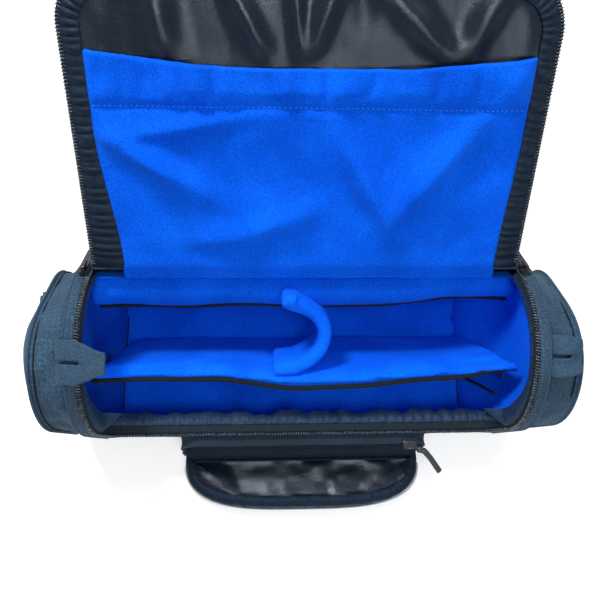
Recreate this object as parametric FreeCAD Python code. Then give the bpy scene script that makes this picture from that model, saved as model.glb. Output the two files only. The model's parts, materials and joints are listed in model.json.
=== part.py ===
"""Barrel bag for bowling balls: padded body, roll-over lid, end pockets, front pocket, dividers and zippers.

Millimetres. X runs along the bag, +Y is its rear, +Z is up. The origin is the middle of the flat base.
The lid is stored open and the front pocket's flap is stored open. The soft lid is cut across in four
sections, so that it curls over the barrel as it closes.
"""
import math
import os

import FreeCAD
import Part

V = FreeCAD.Vector
os.makedirs("parts", exist_ok=True)

# ---- barrel and its walls ----
BODY_HALF = 217.0          # half length of the main tube, at the seams with the end pockets
RADIUS = 88.0              # outer radius of the arched top, and half the bag's depth
CENTRE_Z = 113.0           # height of the arch's centre
BASE_CORNER = 34.0         # radius between the base and the upright walls
BASE_SEAM = 56.0           # half width of the base panel
SHELL_T = 2.0              # woven outer fabric with its backing
FOAM_T = 6.0
LINING_T = 2.0             # fleece
BOARD_T = 3.0              # stiffener in the base
CLEAR = 0.3                # gap between soft pieces that only touch

# ---- end walls and end pockets ----
END_SHELL_T = 2.0
END_FOAM_T = 5.0
POCKET_WIDTH = 33.0        # how far each end pocket stands out of the main tube
POCKET_STEP = 6.0          # the end pocket's arch lies this far inside the main tube's
POCKET_LIFT = 5.0          # the end pocket's underside above the floor
POCKET_WALL_T = 2.5
FACE_T = 3.0
PIPING_R = 2.0

# ---- zippers ----
COIL_R = 1.5
TAPE_T = 1.0
ZIP_INSET = 11.0           # the body's coil, from the seams with the end pockets
COIL_SINK = 1.0            # the body's coil lies this far inside the outer fabric's surface
FRONT_DROP = 39.5          # the body's coil along the front, below the arch's centre
FRONT_CORNER = 34.0        # the coil's bend at each front corner
FRONT_TAPE_W = 12.0
ZIP_GAP = 0.6              # between the body's coil and the lid's coil

# ---- lid ----
LID_RISE = 4.0             # the closed lid's fold lines lie on a circle this far outside the main tube
HINGE_ANGLE = 42.4         # where the lid starts, in degrees above the rear horizontal
FRONT_ANGLE = 202.0        # where the closed lid ends
SECTIONS = 4
LID_LEAN = 42.0            # the open lid's slope above the rear horizontal
LID_T = 6.0
FELT_T = 2.5
LID_TAPE_W = 11.0
LID_CORNER = 45.0          # the coil's bend at the lid's free corners
FOLD_R = 2.0               # round bead along each fold
FOLD_GAP = 0.4
FOLD_BACK = 1.0            # a section's panel stops this far before the fold's axis
COIL_BACK = 1.2            # and its coil this far
FELT_BACK = 2.6            # and its fleece this far
HINGE_FLANGE = 9.0         # degrees that the hinge's flange runs down the rear panel

# ---- handle on the lid ----
HANDLE_HALF = 62.0
HANDLE_W = 25.0
HANDLE_RISE = 24.0
HANDLE_T = 3.0
HANDLE_FOOT = 22.0
HANDLE_SLOPE = 14.0

# ---- dividers and the rear bolster ----
BOLSTER_REACH = 29.0           # how far the roll stands out from the rear wall
BOLSTER_RISE = 25.0            # its front edge, above the arch's centre
BOLSTER_NOSE_R = 11.0
BOLSTER_DROP = 3.0
BOLSTER_START = 2.0            # degrees on the arch
BOLSTER_STOP = 6.0             # degrees short of the hinge
BOLSTER_BACK_R = 30.0
DIVIDER_T = 12.0
DIVIDER_FOOT_Y = 24.0
DIVIDER_TOP_Y = -42.0
DIVIDER_RISE = 9.0             # its upper edge, above the arch's centre
TAB_T = 1.4
TAB_DROP = 15.0                # from the divider's upper edge
TAB_H = 38.0
TAB_W = 20.0
CROSS_T = 8.0
CROSS_H = 54.0
CROSS_X = -30.0                # where its two ends stand
CROSS_BULGE = 56.0             # how far its middle bows sideways

# ---- end loops ----
LOOP_ANGLE = 107.0             # place on the arch, in degrees
LOOP_W = 40.0
LOOP_T = 2.6
LOOP_SLIT = 3.0
LOOP_RISE = 16.0
LOOP_REACH = 46.0
LOOP_TILT = 20.0               # the leaning part's slope
LOOP_BEND = 3.0
LOOP_LIE = 26.0                # how far the right loop reaches over the end pocket

# ---- front pocket ----
FP_HALF = 134.0
FP_DROP = 4.5                  # its top, below the main coil
FP_BOTTOM_Z = 4.0
FP_CORNER = 22.0
FP_WALL_T = 2.5
FP_DEPTH_TOP = 10.0
FP_DEPTH_BOTTOM = 19.0
FP_COIL_R = 1.25
FLAP_T = 3.5
FLAP_LINING_T = 1.0
FLAP_OPEN = 77.0               # degrees from upright, outwards
FLAP_CORNER = 30.0
FLAP_HINGE_R = 1.4
FLAP_HINGE_END = 12.0          # from the pocket's side to the hinge bead's end

# ---- sliders and pulls ----
SLIDER_L = 14.0
SLIDER_W = 9.0
SLIDER_T = 4.0
SLIDER_ANGLE = 48.0            # where the main sliders are parked, on the arch
PULL_L = 30.0
PULL_W = 7.0
PULL_T = 2.2
POCKET_PULL_L = 34.0
POCKET_PULL_W = 6.5
POCKET_PULL_T = 3.0
POCKET_PIN_R = 1.2
PIN_PLAY = 0.05
POCKET_PULL_DROOP = 42.0       # degrees below the horizontal

# ---- end pockets' zippers ----
FACE_ZIP_RISE = 19.0           # above the arch's centre
FACE_ZIP_HALF = 56.0
FACE_ZIP_W = 16.0
FACE_ZIP_END = 3.0             # from the tape's end to the coil's
FACE_SLIDER_END = 4.0          # from the tape's end to the parked slider

# ---- worked out from the sizes above ----
WALL_T = SHELL_T + FOAM_T + LINING_T
POCKET_RADIUS = RADIUS - POCKET_STEP
LID_RADIUS = RADIUS + LID_RISE
COIL_RADIUS = RADIUS - COIL_SINK
ZIP_X = BODY_HALF - ZIP_INSET
FRONT_EDGE_Z = CENTRE_Z - FRONT_DROP
FP_TOP_Z = FRONT_EDGE_Z - FP_DROP
FACE_ZIP_Z = CENTRE_Z + FACE_ZIP_RISE
END_INNER = BODY_HALF - END_SHELL_T - END_FOAM_T - LINING_T
LOOP_X = BODY_HALF + CLEAR + LOOP_T / 2
LOOP_ROOT = POCKET_RADIUS + CLEAR + LOOP_T / 2
LID_COIL_X = ZIP_X - 2 * COIL_R - ZIP_GAP
LID_PANEL_X = LID_COIL_X - COIL_R - LID_TAPE_W
FOLD_STEP = (FRONT_ANGLE - HINGE_ANGLE) / SECTIONS
SECTION_L = 2 * LID_RADIUS * math.sin(math.radians(FOLD_STEP / 2))
LID_L = SECTIONS * SECTION_L
FRONT_WALL_TOP = FRONT_EDGE_Z - COIL_R - CLEAR


def on_arch(radius, degrees):
    """(Y, Z) of a point on a circle about the arch's centre."""
    a = math.radians(degrees)
    return radius * math.cos(a), CENTRE_Z + radius * math.sin(a)


HINGE_Y, HINGE_Z = on_arch(LID_RADIUS, HINGE_ANGLE)


# ---- shapes ----
def rounded(corners, place):
    """Closed wire through (u, v, radius) corners, each rounded by an arc. place(u, v) gives the 3-D point."""
    n = len(corners)
    spans = []
    for i, (u, v, r) in enumerate(corners):
        p = V(u, v, 0)
        before = (V(*corners[i - 1][:2], 0) - p).normalize()
        after = (V(*corners[(i + 1) % n][:2], 0) - p).normalize()
        half = before.getAngle(after) / 2
        if r <= 0 or half > math.radians(89.9):
            spans.append((p, None, p))
            continue
        reach = r / math.tan(half)
        middle = p + (before + after).normalize() * (r / math.sin(half) - r)
        spans.append((p + before * reach, middle, p + after * reach))
    edges = []
    for i, (start, middle, end) in enumerate(spans):
        if middle is not None:
            edges.append(Part.Arc(place(*start[:2]), place(*middle[:2]), place(*end[:2])).toShape())
        following = spans[(i + 1) % n][0]
        if (following - end).Length > 1e-6:
            edges.append(Part.LineSegment(place(*end[:2]), place(*following[:2])).toShape())
    return Part.Wire(edges)


def strip(path, thickness, bend):
    """Rounded outline of a flat strip seen edge-on: (u, v) points along its middle, each bend of one radius."""
    points = [V(u, v, 0) for u, v in path]
    normals = []
    for a, b in zip(points, points[1:]):
        d = (b - a).normalize()
        normals.append(V(-d.y, d.x, 0))
    offsets = [normals[0]]
    for n0, n1 in zip(normals, normals[1:]):
        m = (n0 + n1).normalize()
        offsets.append(m / m.dot(n0))
    offsets.append(normals[-1])
    half = thickness / 2
    last = len(points) - 1
    upper, lower = [], []
    for i, (p, off) in enumerate(zip(points, offsets)):
        turn = 0.0
        if 0 < i < last:
            turn = normals[i - 1].cross(normals[i]).z
        for side, corners in ((1, upper), (-1, lower)):
            q = p + off * (half * side)
            radius = 0.0
            if turn:
                radius = bend - half if turn * side > 0 else bend + half
            corners.append((q.x, q.y, radius))
    return upper + lower[::-1]


def prism_x(corners, x0, x1):
    """Rounded Y-Z outline, extruded along X."""
    wire = rounded(corners, lambda y, z: V(x0, y, z))
    return Part.Face(wire).extrude(V(x1 - x0, 0, 0))


def box(x0, x1, y0, y1, z0, z1):
    return Part.makeBox(x1 - x0, y1 - y0, z1 - z0, V(x0, y0, z0))


def arch_wire(x, radius, bottom_z, corner):
    """The bag's section at x: a half circle on top, upright sides, and rounded corners above a flat base."""
    top = V(x, 0, CENTRE_Z + radius)
    edges = [
        Part.Arc(V(x, radius, CENTRE_Z), top, V(x, -radius, CENTRE_Z)).toShape(),
        Part.LineSegment(V(x, -radius, CENTRE_Z), V(x, -radius, bottom_z + corner)).toShape(),
    ]
    bend = corner * (1 - math.sqrt(0.5))
    edges.append(Part.Arc(V(x, -radius, bottom_z + corner), V(x, -radius + bend, bottom_z + bend),
                          V(x, -radius + corner, bottom_z)).toShape())
    edges.append(Part.LineSegment(V(x, -radius + corner, bottom_z), V(x, radius - corner, bottom_z)).toShape())
    edges.append(Part.Arc(V(x, radius - corner, bottom_z), V(x, radius - bend, bottom_z + bend),
                          V(x, radius, bottom_z + corner)).toShape())
    edges.append(Part.LineSegment(V(x, radius, bottom_z + corner), V(x, radius, CENTRE_Z)).toShape())
    return Part.Wire(edges)


def arch_solid(x0, x1, inset, radius=RADIUS, bottom_z=0.0):
    wire = arch_wire(x0, radius - inset, bottom_z + inset, BASE_CORNER - inset)
    return Part.Face(wire).extrude(V(x1 - x0, 0, 0))


def ring_sector(r0, r1, a0, a1, x0, x1):
    """Part of a tube about the arch's centre, between two radii and two angles."""
    mid = (a0 + a1) / 2

    def at(r, a):
        return V(x0, *on_arch(r, a))

    edges = [
        Part.Arc(at(r1, a0), at(r1, mid), at(r1, a1)).toShape(),
        Part.LineSegment(at(r1, a1), at(r0, a1)).toShape(),
        Part.Arc(at(r0, a1), at(r0, mid), at(r0, a0)).toShape(),
        Part.LineSegment(at(r0, a0), at(r1, a0)).toShape(),
    ]
    return Part.Face(Part.Wire(edges)).extrude(V(x1 - x0, 0, 0))


def tube_along(edges, radius, start, direction):
    """A round bar along a path of lines and arcs."""
    section = Part.Wire([Part.Circle(start, direction, radius).toShape()])
    return Part.Wire(edges).makePipeShell([section], True, False)


def mirrored(shape):
    return shape.mirror(V(0, 0, 0), V(1, 0, 0))


def group(shapes):
    """Separate solids in one node."""
    return Part.Compound([s for shape in shapes for s in shape.Solids])


def write(name, shape):
    solids = shape.Solids
    for s in solids:
        if not s.isValid():
            raise ValueError(name + " has a bad solid")
    out = solids[0] if len(solids) == 1 else Part.Compound(solids)
    out.exportStep("parts/" + name + ".step")
    print(name, len(solids), round(sum(s.Volume for s in solids) / 1000, 2), "cm3")


def write_pair(name, right_shape):
    """The right-hand piece, and its mirror image on the left."""
    write("right_" + name, right_shape)
    write("left_" + name, mirrored(right_shape))


# ---- body: base, front and rear, each of shell, foam and fleece ----
FAR = 400.0


def base_region():
    return box(-FAR, FAR, -BASE_SEAM, BASE_SEAM, -1, CENTRE_Z / 2)


def front_region():
    return box(-FAR, FAR, -FAR, -BASE_SEAM - CLEAR, -1, FRONT_WALL_TOP)


def rear_region():
    """Everything behind the base seam and below the ray from the arch's centre to the hinge."""
    top = HINGE_ANGLE - 1.5
    y, z = on_arch(FAR, top)
    wall = BASE_SEAM + CLEAR
    inner_z = on_arch(wall / math.cos(math.radians(top)), top)[1]
    return prism_x([(wall, -1, 0), (FAR, -1, 0), (y, z, 0), (wall, inner_z, 0)], -FAR, FAR)


def wall_layer(outer, inner, x_half, region):
    ring = arch_solid(-x_half, x_half, outer).cut(arch_solid(-x_half - 1, x_half + 1, inner))
    return ring.common(region)


def make_walls():
    shell, foam = SHELL_T, SHELL_T + FOAM_T
    write("front_shell", wall_layer(0, shell, BODY_HALF, front_region()).fuse(front_corner_panels()))
    write("rear_shell", wall_layer(0, shell, BODY_HALF, rear_region()))
    write("base_shell", wall_layer(0, shell, BODY_HALF, base_region()))
    inside = END_INNER - CLEAR
    write("front_foam", wall_layer(shell, foam, inside, front_region()))
    write("rear_foam", wall_layer(shell, foam, inside, rear_region()))
    write("front_lining", wall_layer(foam, WALL_T, inside, front_region()))
    write("rear_lining", wall_layer(foam, WALL_T, inside, rear_region()))
    write("base_board", wall_layer(shell, shell + BOARD_T, inside, base_region()))
    write("base_foam", wall_layer(shell + BOARD_T, foam, inside, base_region()))
    write("base_lining", wall_layer(foam, WALL_T, inside, base_region()))


def front_corner_panels():
    """The outer fabric that rises with the zipper at both front corners."""
    y0 = -RADIUS
    y1 = y0 + SHELL_T
    reach = FRONT_CORNER + COIL_R + CLEAR
    centre_x, centre_z = ZIP_X - FRONT_CORNER, FRONT_EDGE_Z + FRONT_CORNER
    block = box(centre_x, BODY_HALF, y0, y1, FRONT_WALL_TOP, centre_z)
    hole = Part.makeCylinder(reach, SHELL_T + 2, V(centre_x, y0 - 1, centre_z), V(0, 1, 0))
    right = block.cut(hole)
    return right.fuse(mirrored(right))


# ---- ends ----
def make_ends():
    shell_x = BODY_HALF - END_SHELL_T
    foam_x = shell_x - END_FOAM_T
    inset = SHELL_T + CLEAR
    write_pair("end_shell", arch_solid(shell_x, BODY_HALF, inset))
    write_pair("end_foam", arch_solid(foam_x, shell_x, inset))
    write_pair("end_lining", arch_solid(END_INNER, foam_x, inset))

    start = BODY_HALF + CLEAR
    end = BODY_HALF + POCKET_WIDTH
    outer = arch_solid(start, end, 0, POCKET_RADIUS, POCKET_LIFT)
    inner = arch_solid(start - 1, end + 1, POCKET_WALL_T, POCKET_RADIUS, POCKET_LIFT)
    write_pair("pocket_wall", outer.cut(inner))
    face_x = end + CLEAR
    write_pair("pocket_face", arch_solid(face_x, face_x + FACE_T, 0, POCKET_RADIUS, POCKET_LIFT))

    out = PIPING_R + CLEAR
    path = arch_wire(end + CLEAR / 2, POCKET_RADIUS + out, POCKET_LIFT - out, BASE_CORNER + out)
    side = V(end + CLEAR / 2, POCKET_RADIUS + out, CENTRE_Z)
    ring = path.makePipeShell([Part.Wire([Part.Circle(side, V(0, 0, 1), PIPING_R).toShape()])], True, False)
    write_pair("pocket_piping", ring)
    return face_x + FACE_T


def make_face_zip(face_x):
    """A straight zipper across each end pocket's face, with its slider parked at the rear."""
    tape_x = face_x + CLEAR
    tape = box(tape_x, tape_x + TAPE_T, -FACE_ZIP_HALF, FACE_ZIP_HALF,
               FACE_ZIP_Z - FACE_ZIP_W / 2, FACE_ZIP_Z + FACE_ZIP_W / 2)
    coil_x = tape_x + TAPE_T + CLEAR + COIL_R
    coil_end = FACE_ZIP_HALF - FACE_ZIP_END
    coil = Part.makeCylinder(COIL_R, 2 * coil_end, V(coil_x, -coil_end, FACE_ZIP_Z), V(0, 1, 0))
    write_pair("face_zip", group([tape, coil]))
    parked = FACE_ZIP_HALF - SLIDER_L / 2 - FACE_SLIDER_END
    s0 = coil_x + COIL_R + CLEAR
    slider = box(s0, s0 + SLIDER_T, parked - SLIDER_L / 2, parked + SLIDER_L / 2,
                 FACE_ZIP_Z - SLIDER_W / 2, FACE_ZIP_Z + SLIDER_W / 2)
    top = s0 + SLIDER_T + CLEAR
    pull = box(top, top + PULL_T, parked - PULL_W / 2, parked + PULL_W / 2,
               FACE_ZIP_Z - PULL_L, FACE_ZIP_Z + PULL_W / 2)
    write_pair("face_slider", group([slider, pull]))


# ---- main zipper, body side ----
def make_body_zip():
    r_tape = RADIUS - SHELL_T
    side = ring_sector(r_tape, r_tape + TAPE_T, HINGE_ANGLE, 180, ZIP_X + COIL_R + CLEAR, BODY_HALF)
    front = box(-ZIP_X, ZIP_X, -COIL_RADIUS + COIL_R + CLEAR, -COIL_RADIUS + COIL_R + CLEAR + FRONT_TAPE_W,
                FRONT_WALL_TOP, FRONT_WALL_TOP + TAPE_T)
    write("body_zip_tape", group([side, mirrored(side), front]))

    def corner(sign):
        cx, cz = sign * (ZIP_X - FRONT_CORNER), FRONT_EDGE_Z + FRONT_CORNER
        k = FRONT_CORNER * math.sqrt(0.5)
        return [V(sign * ZIP_X, -COIL_RADIUS, cz), V(cx + sign * k, -COIL_RADIUS, cz - k),
                V(cx, -COIL_RADIUS, FRONT_EDGE_Z)]

    def side_arc(sign, a0, a1):
        return [V(sign * ZIP_X, *on_arch(COIL_RADIUS, a)) for a in (a0, (a0 + a1) / 2, a1)]

    right, left = corner(1), corner(-1)
    start = HINGE_ANGLE + 1
    edges = [Part.Arc(*side_arc(1, start, 180)).toShape(),
             Part.LineSegment(V(ZIP_X, -COIL_RADIUS, CENTRE_Z), right[0]).toShape(),
             Part.Arc(*right).toShape(),
             Part.LineSegment(right[2], left[2]).toShape(),
             Part.Arc(left[2], left[1], left[0]).toShape(),
             Part.LineSegment(left[0], V(-ZIP_X, -COIL_RADIUS, CENTRE_Z)).toShape(),
             Part.Arc(*side_arc(-1, 180, start)).toShape()]
    a = math.radians(start)
    write("body_zip_coil", tube_along(edges, COIL_R, V(ZIP_X, *on_arch(COIL_RADIUS, start)),
                                      V(0, -math.sin(a), math.cos(a))))

    x0, x1 = END_INNER - CLEAR - 2.4, END_INNER - CLEAR
    strip = ring_sector(RADIUS - WALL_T, RADIUS - WALL_T + 4, HINGE_ANGLE, 180, x0, x1)
    face_y = -RADIUS + WALL_T
    front_strip = box(-x0, x0, face_y + CLEAR, face_y + CLEAR + 2, FRONT_WALL_TOP - 12, FRONT_WALL_TOP)
    write("zip_facing", group([strip, mirrored(strip), front_strip]))


# ---- lid ----
LEAN = math.radians(LID_LEAN)
ALONG = V(0, math.cos(LEAN), math.sin(LEAN))
INWARD = V(0, -math.sin(LEAN), math.cos(LEAN))


def on_lid(x, s, n=0.0):
    """A point on the open lid: s along it from the hinge, n off its middle plane towards its inner side."""
    return V(x, HINGE_Y, HINGE_Z) + ALONG * s + INWARD * n


def lid_slab(corners, n0, n1):
    """Rounded X-s outline on the lid, between two offsets from its middle plane."""
    wire = rounded(corners, lambda x, s: on_lid(x, s, n0))
    return Part.Face(wire).extrude(INWARD * (n1 - n0))


def lid_rect(x0, x1, s0, s1, n0, n1):
    return lid_slab([(x0, s0, 0), (x1, s0, 0), (x1, s1, 0), (x0, s1, 0)], n0, n1)


def lid_bar(x, s, length):
    """Bead along a fold or the hinge."""
    start = on_lid(-x, s)
    return Part.makeCylinder(FOLD_R, length, start, V(1, 0, 0))


def make_lid():
    half = LID_T / 2
    end = LID_L - 2 * COIL_R - LID_TAPE_W
    inner_corner = LID_CORNER - COIL_R - LID_TAPE_W
    for k in range(SECTIONS):
        s0 = k * SECTION_L + FOLD_R + FOLD_GAP
        fold = (k + 1) * SECTION_L
        last = k == SECTIONS - 1
        if last:
            panel = lid_slab([(-LID_PANEL_X, s0, 0), (LID_PANEL_X, s0, 0), (LID_PANEL_X, end, inner_corner),
                              (-LID_PANEL_X, end, inner_corner)], -half, half)
        else:
            panel = lid_rect(-LID_PANEL_X, LID_PANEL_X, s0, fold - FOLD_BACK, -half, half)
            panel = panel.fuse(lid_bar(LID_PANEL_X, fold, 2 * LID_PANEL_X))
        write("lid_panel_%d" % (k + 1), panel)
        write("lid_zip_%d" % (k + 1), lid_zip(k, last))
        if not last:
            felt_x = LID_PANEL_X - 2
            write("lid_fleece_%d" % (k + 1), lid_rect(-felt_x, felt_x, k * SECTION_L + FELT_BACK + (k == 0) * 4,
                                                      fold - FELT_BACK, half, half + FELT_T))


def lid_zip(k, last):
    """One section's tape and coil: two sides, or a U round the free edge."""
    s0 = k * SECTION_L + COIL_BACK + (k == 0) * 3
    s1 = (k + 1) * SECTION_L - COIL_BACK
    tape_out = LID_COIL_X - COIL_R - CLEAR
    t = TAPE_T / 2
    if not last:
        tape = lid_rect(LID_PANEL_X, tape_out, s0, s1, -t, t)
        coil = Part.makeCylinder(COIL_R, s1 - s0, on_lid(LID_COIL_X, s0), ALONG)
        return group([tape, coil, mirrored(tape), mirrored(coil)])
    edge = LID_L - COIL_R
    outer_corner = LID_CORNER - COIL_R - CLEAR
    tape_end = edge - COIL_R - CLEAR
    outside = lid_slab([(-tape_out, s0, 0), (tape_out, s0, 0), (tape_out, tape_end, outer_corner),
                        (-tape_out, tape_end, outer_corner)], -t, t)
    panel_end = LID_L - 2 * COIL_R - LID_TAPE_W
    inner_corner = LID_CORNER - COIL_R - LID_TAPE_W
    inside = lid_slab([(-LID_PANEL_X, s0 - 1, 0), (LID_PANEL_X, s0 - 1, 0), (LID_PANEL_X, panel_end, inner_corner),
                       (-LID_PANEL_X, panel_end, inner_corner)], -1, 1)
    bend = edge - LID_CORNER
    k45 = LID_CORNER * math.sqrt(0.5)
    cx = LID_COIL_X - LID_CORNER
    edges = [Part.LineSegment(on_lid(LID_COIL_X, s0), on_lid(LID_COIL_X, bend)).toShape(),
             Part.Arc(on_lid(LID_COIL_X, bend), on_lid(cx + k45, bend + k45), on_lid(cx, edge)).toShape(),
             Part.LineSegment(on_lid(cx, edge), on_lid(-cx, edge)).toShape(),
             Part.Arc(on_lid(-cx, edge), on_lid(-cx - k45, bend + k45), on_lid(-LID_COIL_X, bend)).toShape(),
             Part.LineSegment(on_lid(-LID_COIL_X, bend), on_lid(-LID_COIL_X, s0)).toShape()]
    coil = tube_along(edges, COIL_R, on_lid(LID_COIL_X, s0), ALONG)
    return group([outside.cut(inside), coil])


def make_hinge():
    """A beaded strip sewn to the rear panel: the lid turns on its bead."""
    half = LID_PANEL_X
    flange = ring_sector(RADIUS + CLEAR, LID_RADIUS - 1, HINGE_ANGLE - HINGE_FLANGE, HINGE_ANGLE, -half, half)
    write("hinge_strip", lid_bar(half, 0, 2 * half).fuse(flange))


def make_handle():
    """Webbing grip on the outside of the second section, between two sewn feet."""
    middle = 1.5 * SECTION_L
    face = -(LID_T + HANDLE_T) / 2
    foot = HANDLE_HALF - HANDLE_FOOT
    top = foot - HANDLE_SLOPE
    path = [(-HANDLE_HALF, face), (-foot, face), (-top, face - HANDLE_RISE), (top, face - HANDLE_RISE),
            (foot, face), (HANDLE_HALF, face)]
    wire = rounded(strip(path, HANDLE_T, 6.0), lambda x, n: on_lid(x, middle - HANDLE_W / 2, n))
    write("carry_handle", Part.Face(wire).extrude(ALONG * HANDLE_W))


# ---- inside ----
def make_inside():
    x = END_INNER - CLEAR
    wall = RADIUS - WALL_T - CLEAR
    r = BOLSTER_NOSE_R
    ny, nz = RADIUS - WALL_T - BOLSTER_REACH, CENTRE_Z + BOLSTER_RISE
    first, last = BOLSTER_START, HINGE_ANGLE - BOLSTER_STOP
    top_y, top_z = on_arch(wall, last)
    low_y, low_z = on_arch(wall, first)
    back_y, back_z = on_arch(wall / math.cos(math.radians((last - first) / 2)), (first + last) / 2)
    outline = [(ny - r, nz - r - BOLSTER_DROP, r), (ny - r, nz + r, r), (top_y, top_z, 2),
               (back_y, back_z, BOLSTER_BACK_R), (low_y, low_z, 2)]
    bolster = prism_x(outline, -x, x).common(arch_solid(-x, x, WALL_T + CLEAR))
    write("rear_bolster", bolster)

    foot_z = WALL_T + CLEAR
    dy, dz = DIVIDER_TOP_Y - DIVIDER_FOOT_Y, CENTRE_Z + DIVIDER_RISE - foot_z
    long = math.hypot(dy, dz)
    lean = V(0, dy / long, dz / long)
    across = V(0, dz / long, -dy / long)
    foot = V(0, DIVIDER_FOOT_Y, foot_z + DIVIDER_T / 2 * abs(dy) / long)

    def on_divider(u, v, xx):
        return foot + lean * u + across * v + V(xx, 0, 0)

    half = DIVIDER_T / 2
    tab_x = x - TAB_T
    body_x = tab_x - CLEAR
    wire = rounded([(0, -half, 2), (long, -half, half - 0.5), (long, half, half - 0.5), (0, half, 2)],
                   lambda u, v: on_divider(u, v, -body_x))
    write("long_divider", Part.Face(wire).extrude(V(2 * body_x, 0, 0)))
    tab_top = long - TAB_DROP
    tab_low = tab_top - TAB_H
    tab = rounded([(tab_low, -TAB_W / 2, 2), (tab_top, -TAB_W / 2, 2), (tab_top, TAB_W / 2, 2),
                   (tab_low, TAB_W / 2, 2)], lambda u, v: on_divider(u, v, tab_x))
    tab = Part.Face(tab).extrude(V(TAB_T, 0, 0))
    write("divider_tabs", group([tab, mirrored(tab)]))

    # The cross divider is a U-shaped strip between the long divider and the roll's lower front corner.
    to_roll = V(0, ny - r, nz - r - BOLSTER_DROP) - foot
    start = to_roll.dot(lean) - CROSS_H
    front, rear = half + CLEAR, to_roll.dot(across) - CLEAR
    radius = (rear - front) / 2
    middle = (front + rear) / 2
    bend_x = CROSS_X + CROSS_BULGE - radius

    def on_cross(x_at, v):
        return on_divider(start, v, x_at)

    def legs_and_bend(thick):
        low, high, round_r = front + thick, rear - thick, radius - thick
        return [on_cross(CROSS_X, low), on_cross(bend_x, low), on_cross(bend_x + round_r, middle),
                on_cross(bend_x, high), on_cross(CROSS_X, high)]

    outer, inner = legs_and_bend(0.0), legs_and_bend(CROSS_T)
    edges = [Part.LineSegment(outer[0], outer[1]).toShape(), Part.Arc(outer[1], outer[2], outer[3]).toShape(),
             Part.LineSegment(outer[3], outer[4]).toShape(), Part.LineSegment(outer[4], inner[4]).toShape(),
             Part.LineSegment(inner[4], inner[3]).toShape(), Part.Arc(inner[3], inner[2], inner[1]).toShape(),
             Part.LineSegment(inner[1], inner[0]).toShape(), Part.LineSegment(inner[0], outer[0]).toShape()]
    write("cross_divider", Part.Face(Part.Wire(edges)).extrude(lean * CROSS_H))


# ---- loops ----
def make_loops():
    """Folded webbing at both ends: the left one leans in over the zipper, the right one lies outwards.

    Each loop is sewn into the seam between the main tube and its end pocket, and turns about that edge.
    """
    a = math.radians(LOOP_ANGLE)
    out = V(0, math.cos(a), math.sin(a))
    tangent = V(0, -math.sin(a), math.cos(a))

    def loop(path, sign, slit):
        def place(x, r, t):
            return V(sign * x, 0, CENTRE_Z) + out * r + tangent * t

        wire = rounded(strip(path, LOOP_T, LOOP_BEND), lambda x, r: place(x, r, -LOOP_W / 2))
        solid = Part.Face(wire).extrude(tangent * LOOP_W)
        bead = Part.makeCylinder(LOOP_T / 2, LOOP_W, place(LOOP_X, LOOP_ROOT, -LOOP_W / 2), tangent)
        x0, x1, r0, r1 = slit
        cut = rounded([(x0, r0, 0), (x1, r0, 0), (x1, r1, 0), (x0, r1, 0)],
                      lambda x, r: place(x, r, -LOOP_SLIT / 2))
        return solid.fuse(bead).cut(Part.Face(cut).extrude(tangent * LOOP_SLIT)).removeSplitter()

    drop = LOOP_REACH * math.tan(math.radians(LOOP_TILT))
    stem = LOOP_ROOT + LOOP_RISE
    left = [(LOOP_X, LOOP_ROOT), (LOOP_X, stem), (LOOP_X - LOOP_REACH, stem + drop)]
    write("left_loop", loop(left, -1, (LOOP_X - LOOP_REACH * 0.6, LOOP_X + LOOP_T, LOOP_ROOT + 4, stem + drop)))
    low = LOOP_ROOT + 2 * LOOP_BEND
    right = [(LOOP_X, LOOP_ROOT), (LOOP_X, low), (LOOP_X + LOOP_LIE, low)]
    write("right_loop", loop(right, 1, (LOOP_X - LOOP_T, LOOP_X + LOOP_LIE * 0.6, LOOP_ROOT + 2, low + LOOP_T)))


# ---- front pocket ----
def pocket_outline(inset, y, corner):
    half, top, bottom = FP_HALF - inset, FP_TOP_Z - inset, FP_BOTTOM_Z + inset
    c = max(corner - inset, 1.0)
    low = max(8 - inset, 1.0)
    return rounded([(-half, bottom, low), (half, bottom, low), (half, top, c), (-half, top, c)],
                   lambda x, z: V(x, y, z))


FP_BACK_Y = -RADIUS - CLEAR
RIM_TOP_Y = FP_BACK_Y - FP_DEPTH_TOP
RIM_BOTTOM_Y = FP_BACK_Y - FP_DEPTH_BOTTOM
RIM_SLOPE = math.atan2(FP_DEPTH_BOTTOM - FP_DEPTH_TOP, FP_TOP_Z - FP_BOTTOM_Z)
RIM_UP = V(0, math.sin(RIM_SLOPE), math.cos(RIM_SLOPE))
RIM_OUT = V(0, -math.cos(RIM_SLOPE), math.sin(RIM_SLOPE))


def on_rim(x, z, out=0.0):
    """A point on the pocket's sloping rim plane, at height z before it is moved outwards."""
    share = (z - FP_BOTTOM_Z) / (FP_TOP_Z - FP_BOTTOM_Z)
    return V(x, RIM_BOTTOM_Y + (RIM_TOP_Y - RIM_BOTTOM_Y) * share, z) + RIM_OUT * out


FLAP_AXIS_OUT = FLAP_HINGE_R + 0.5
FLAP_AXIS = on_rim(0, FP_BOTTOM_Z + 2.0, FLAP_AXIS_OUT)


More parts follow.
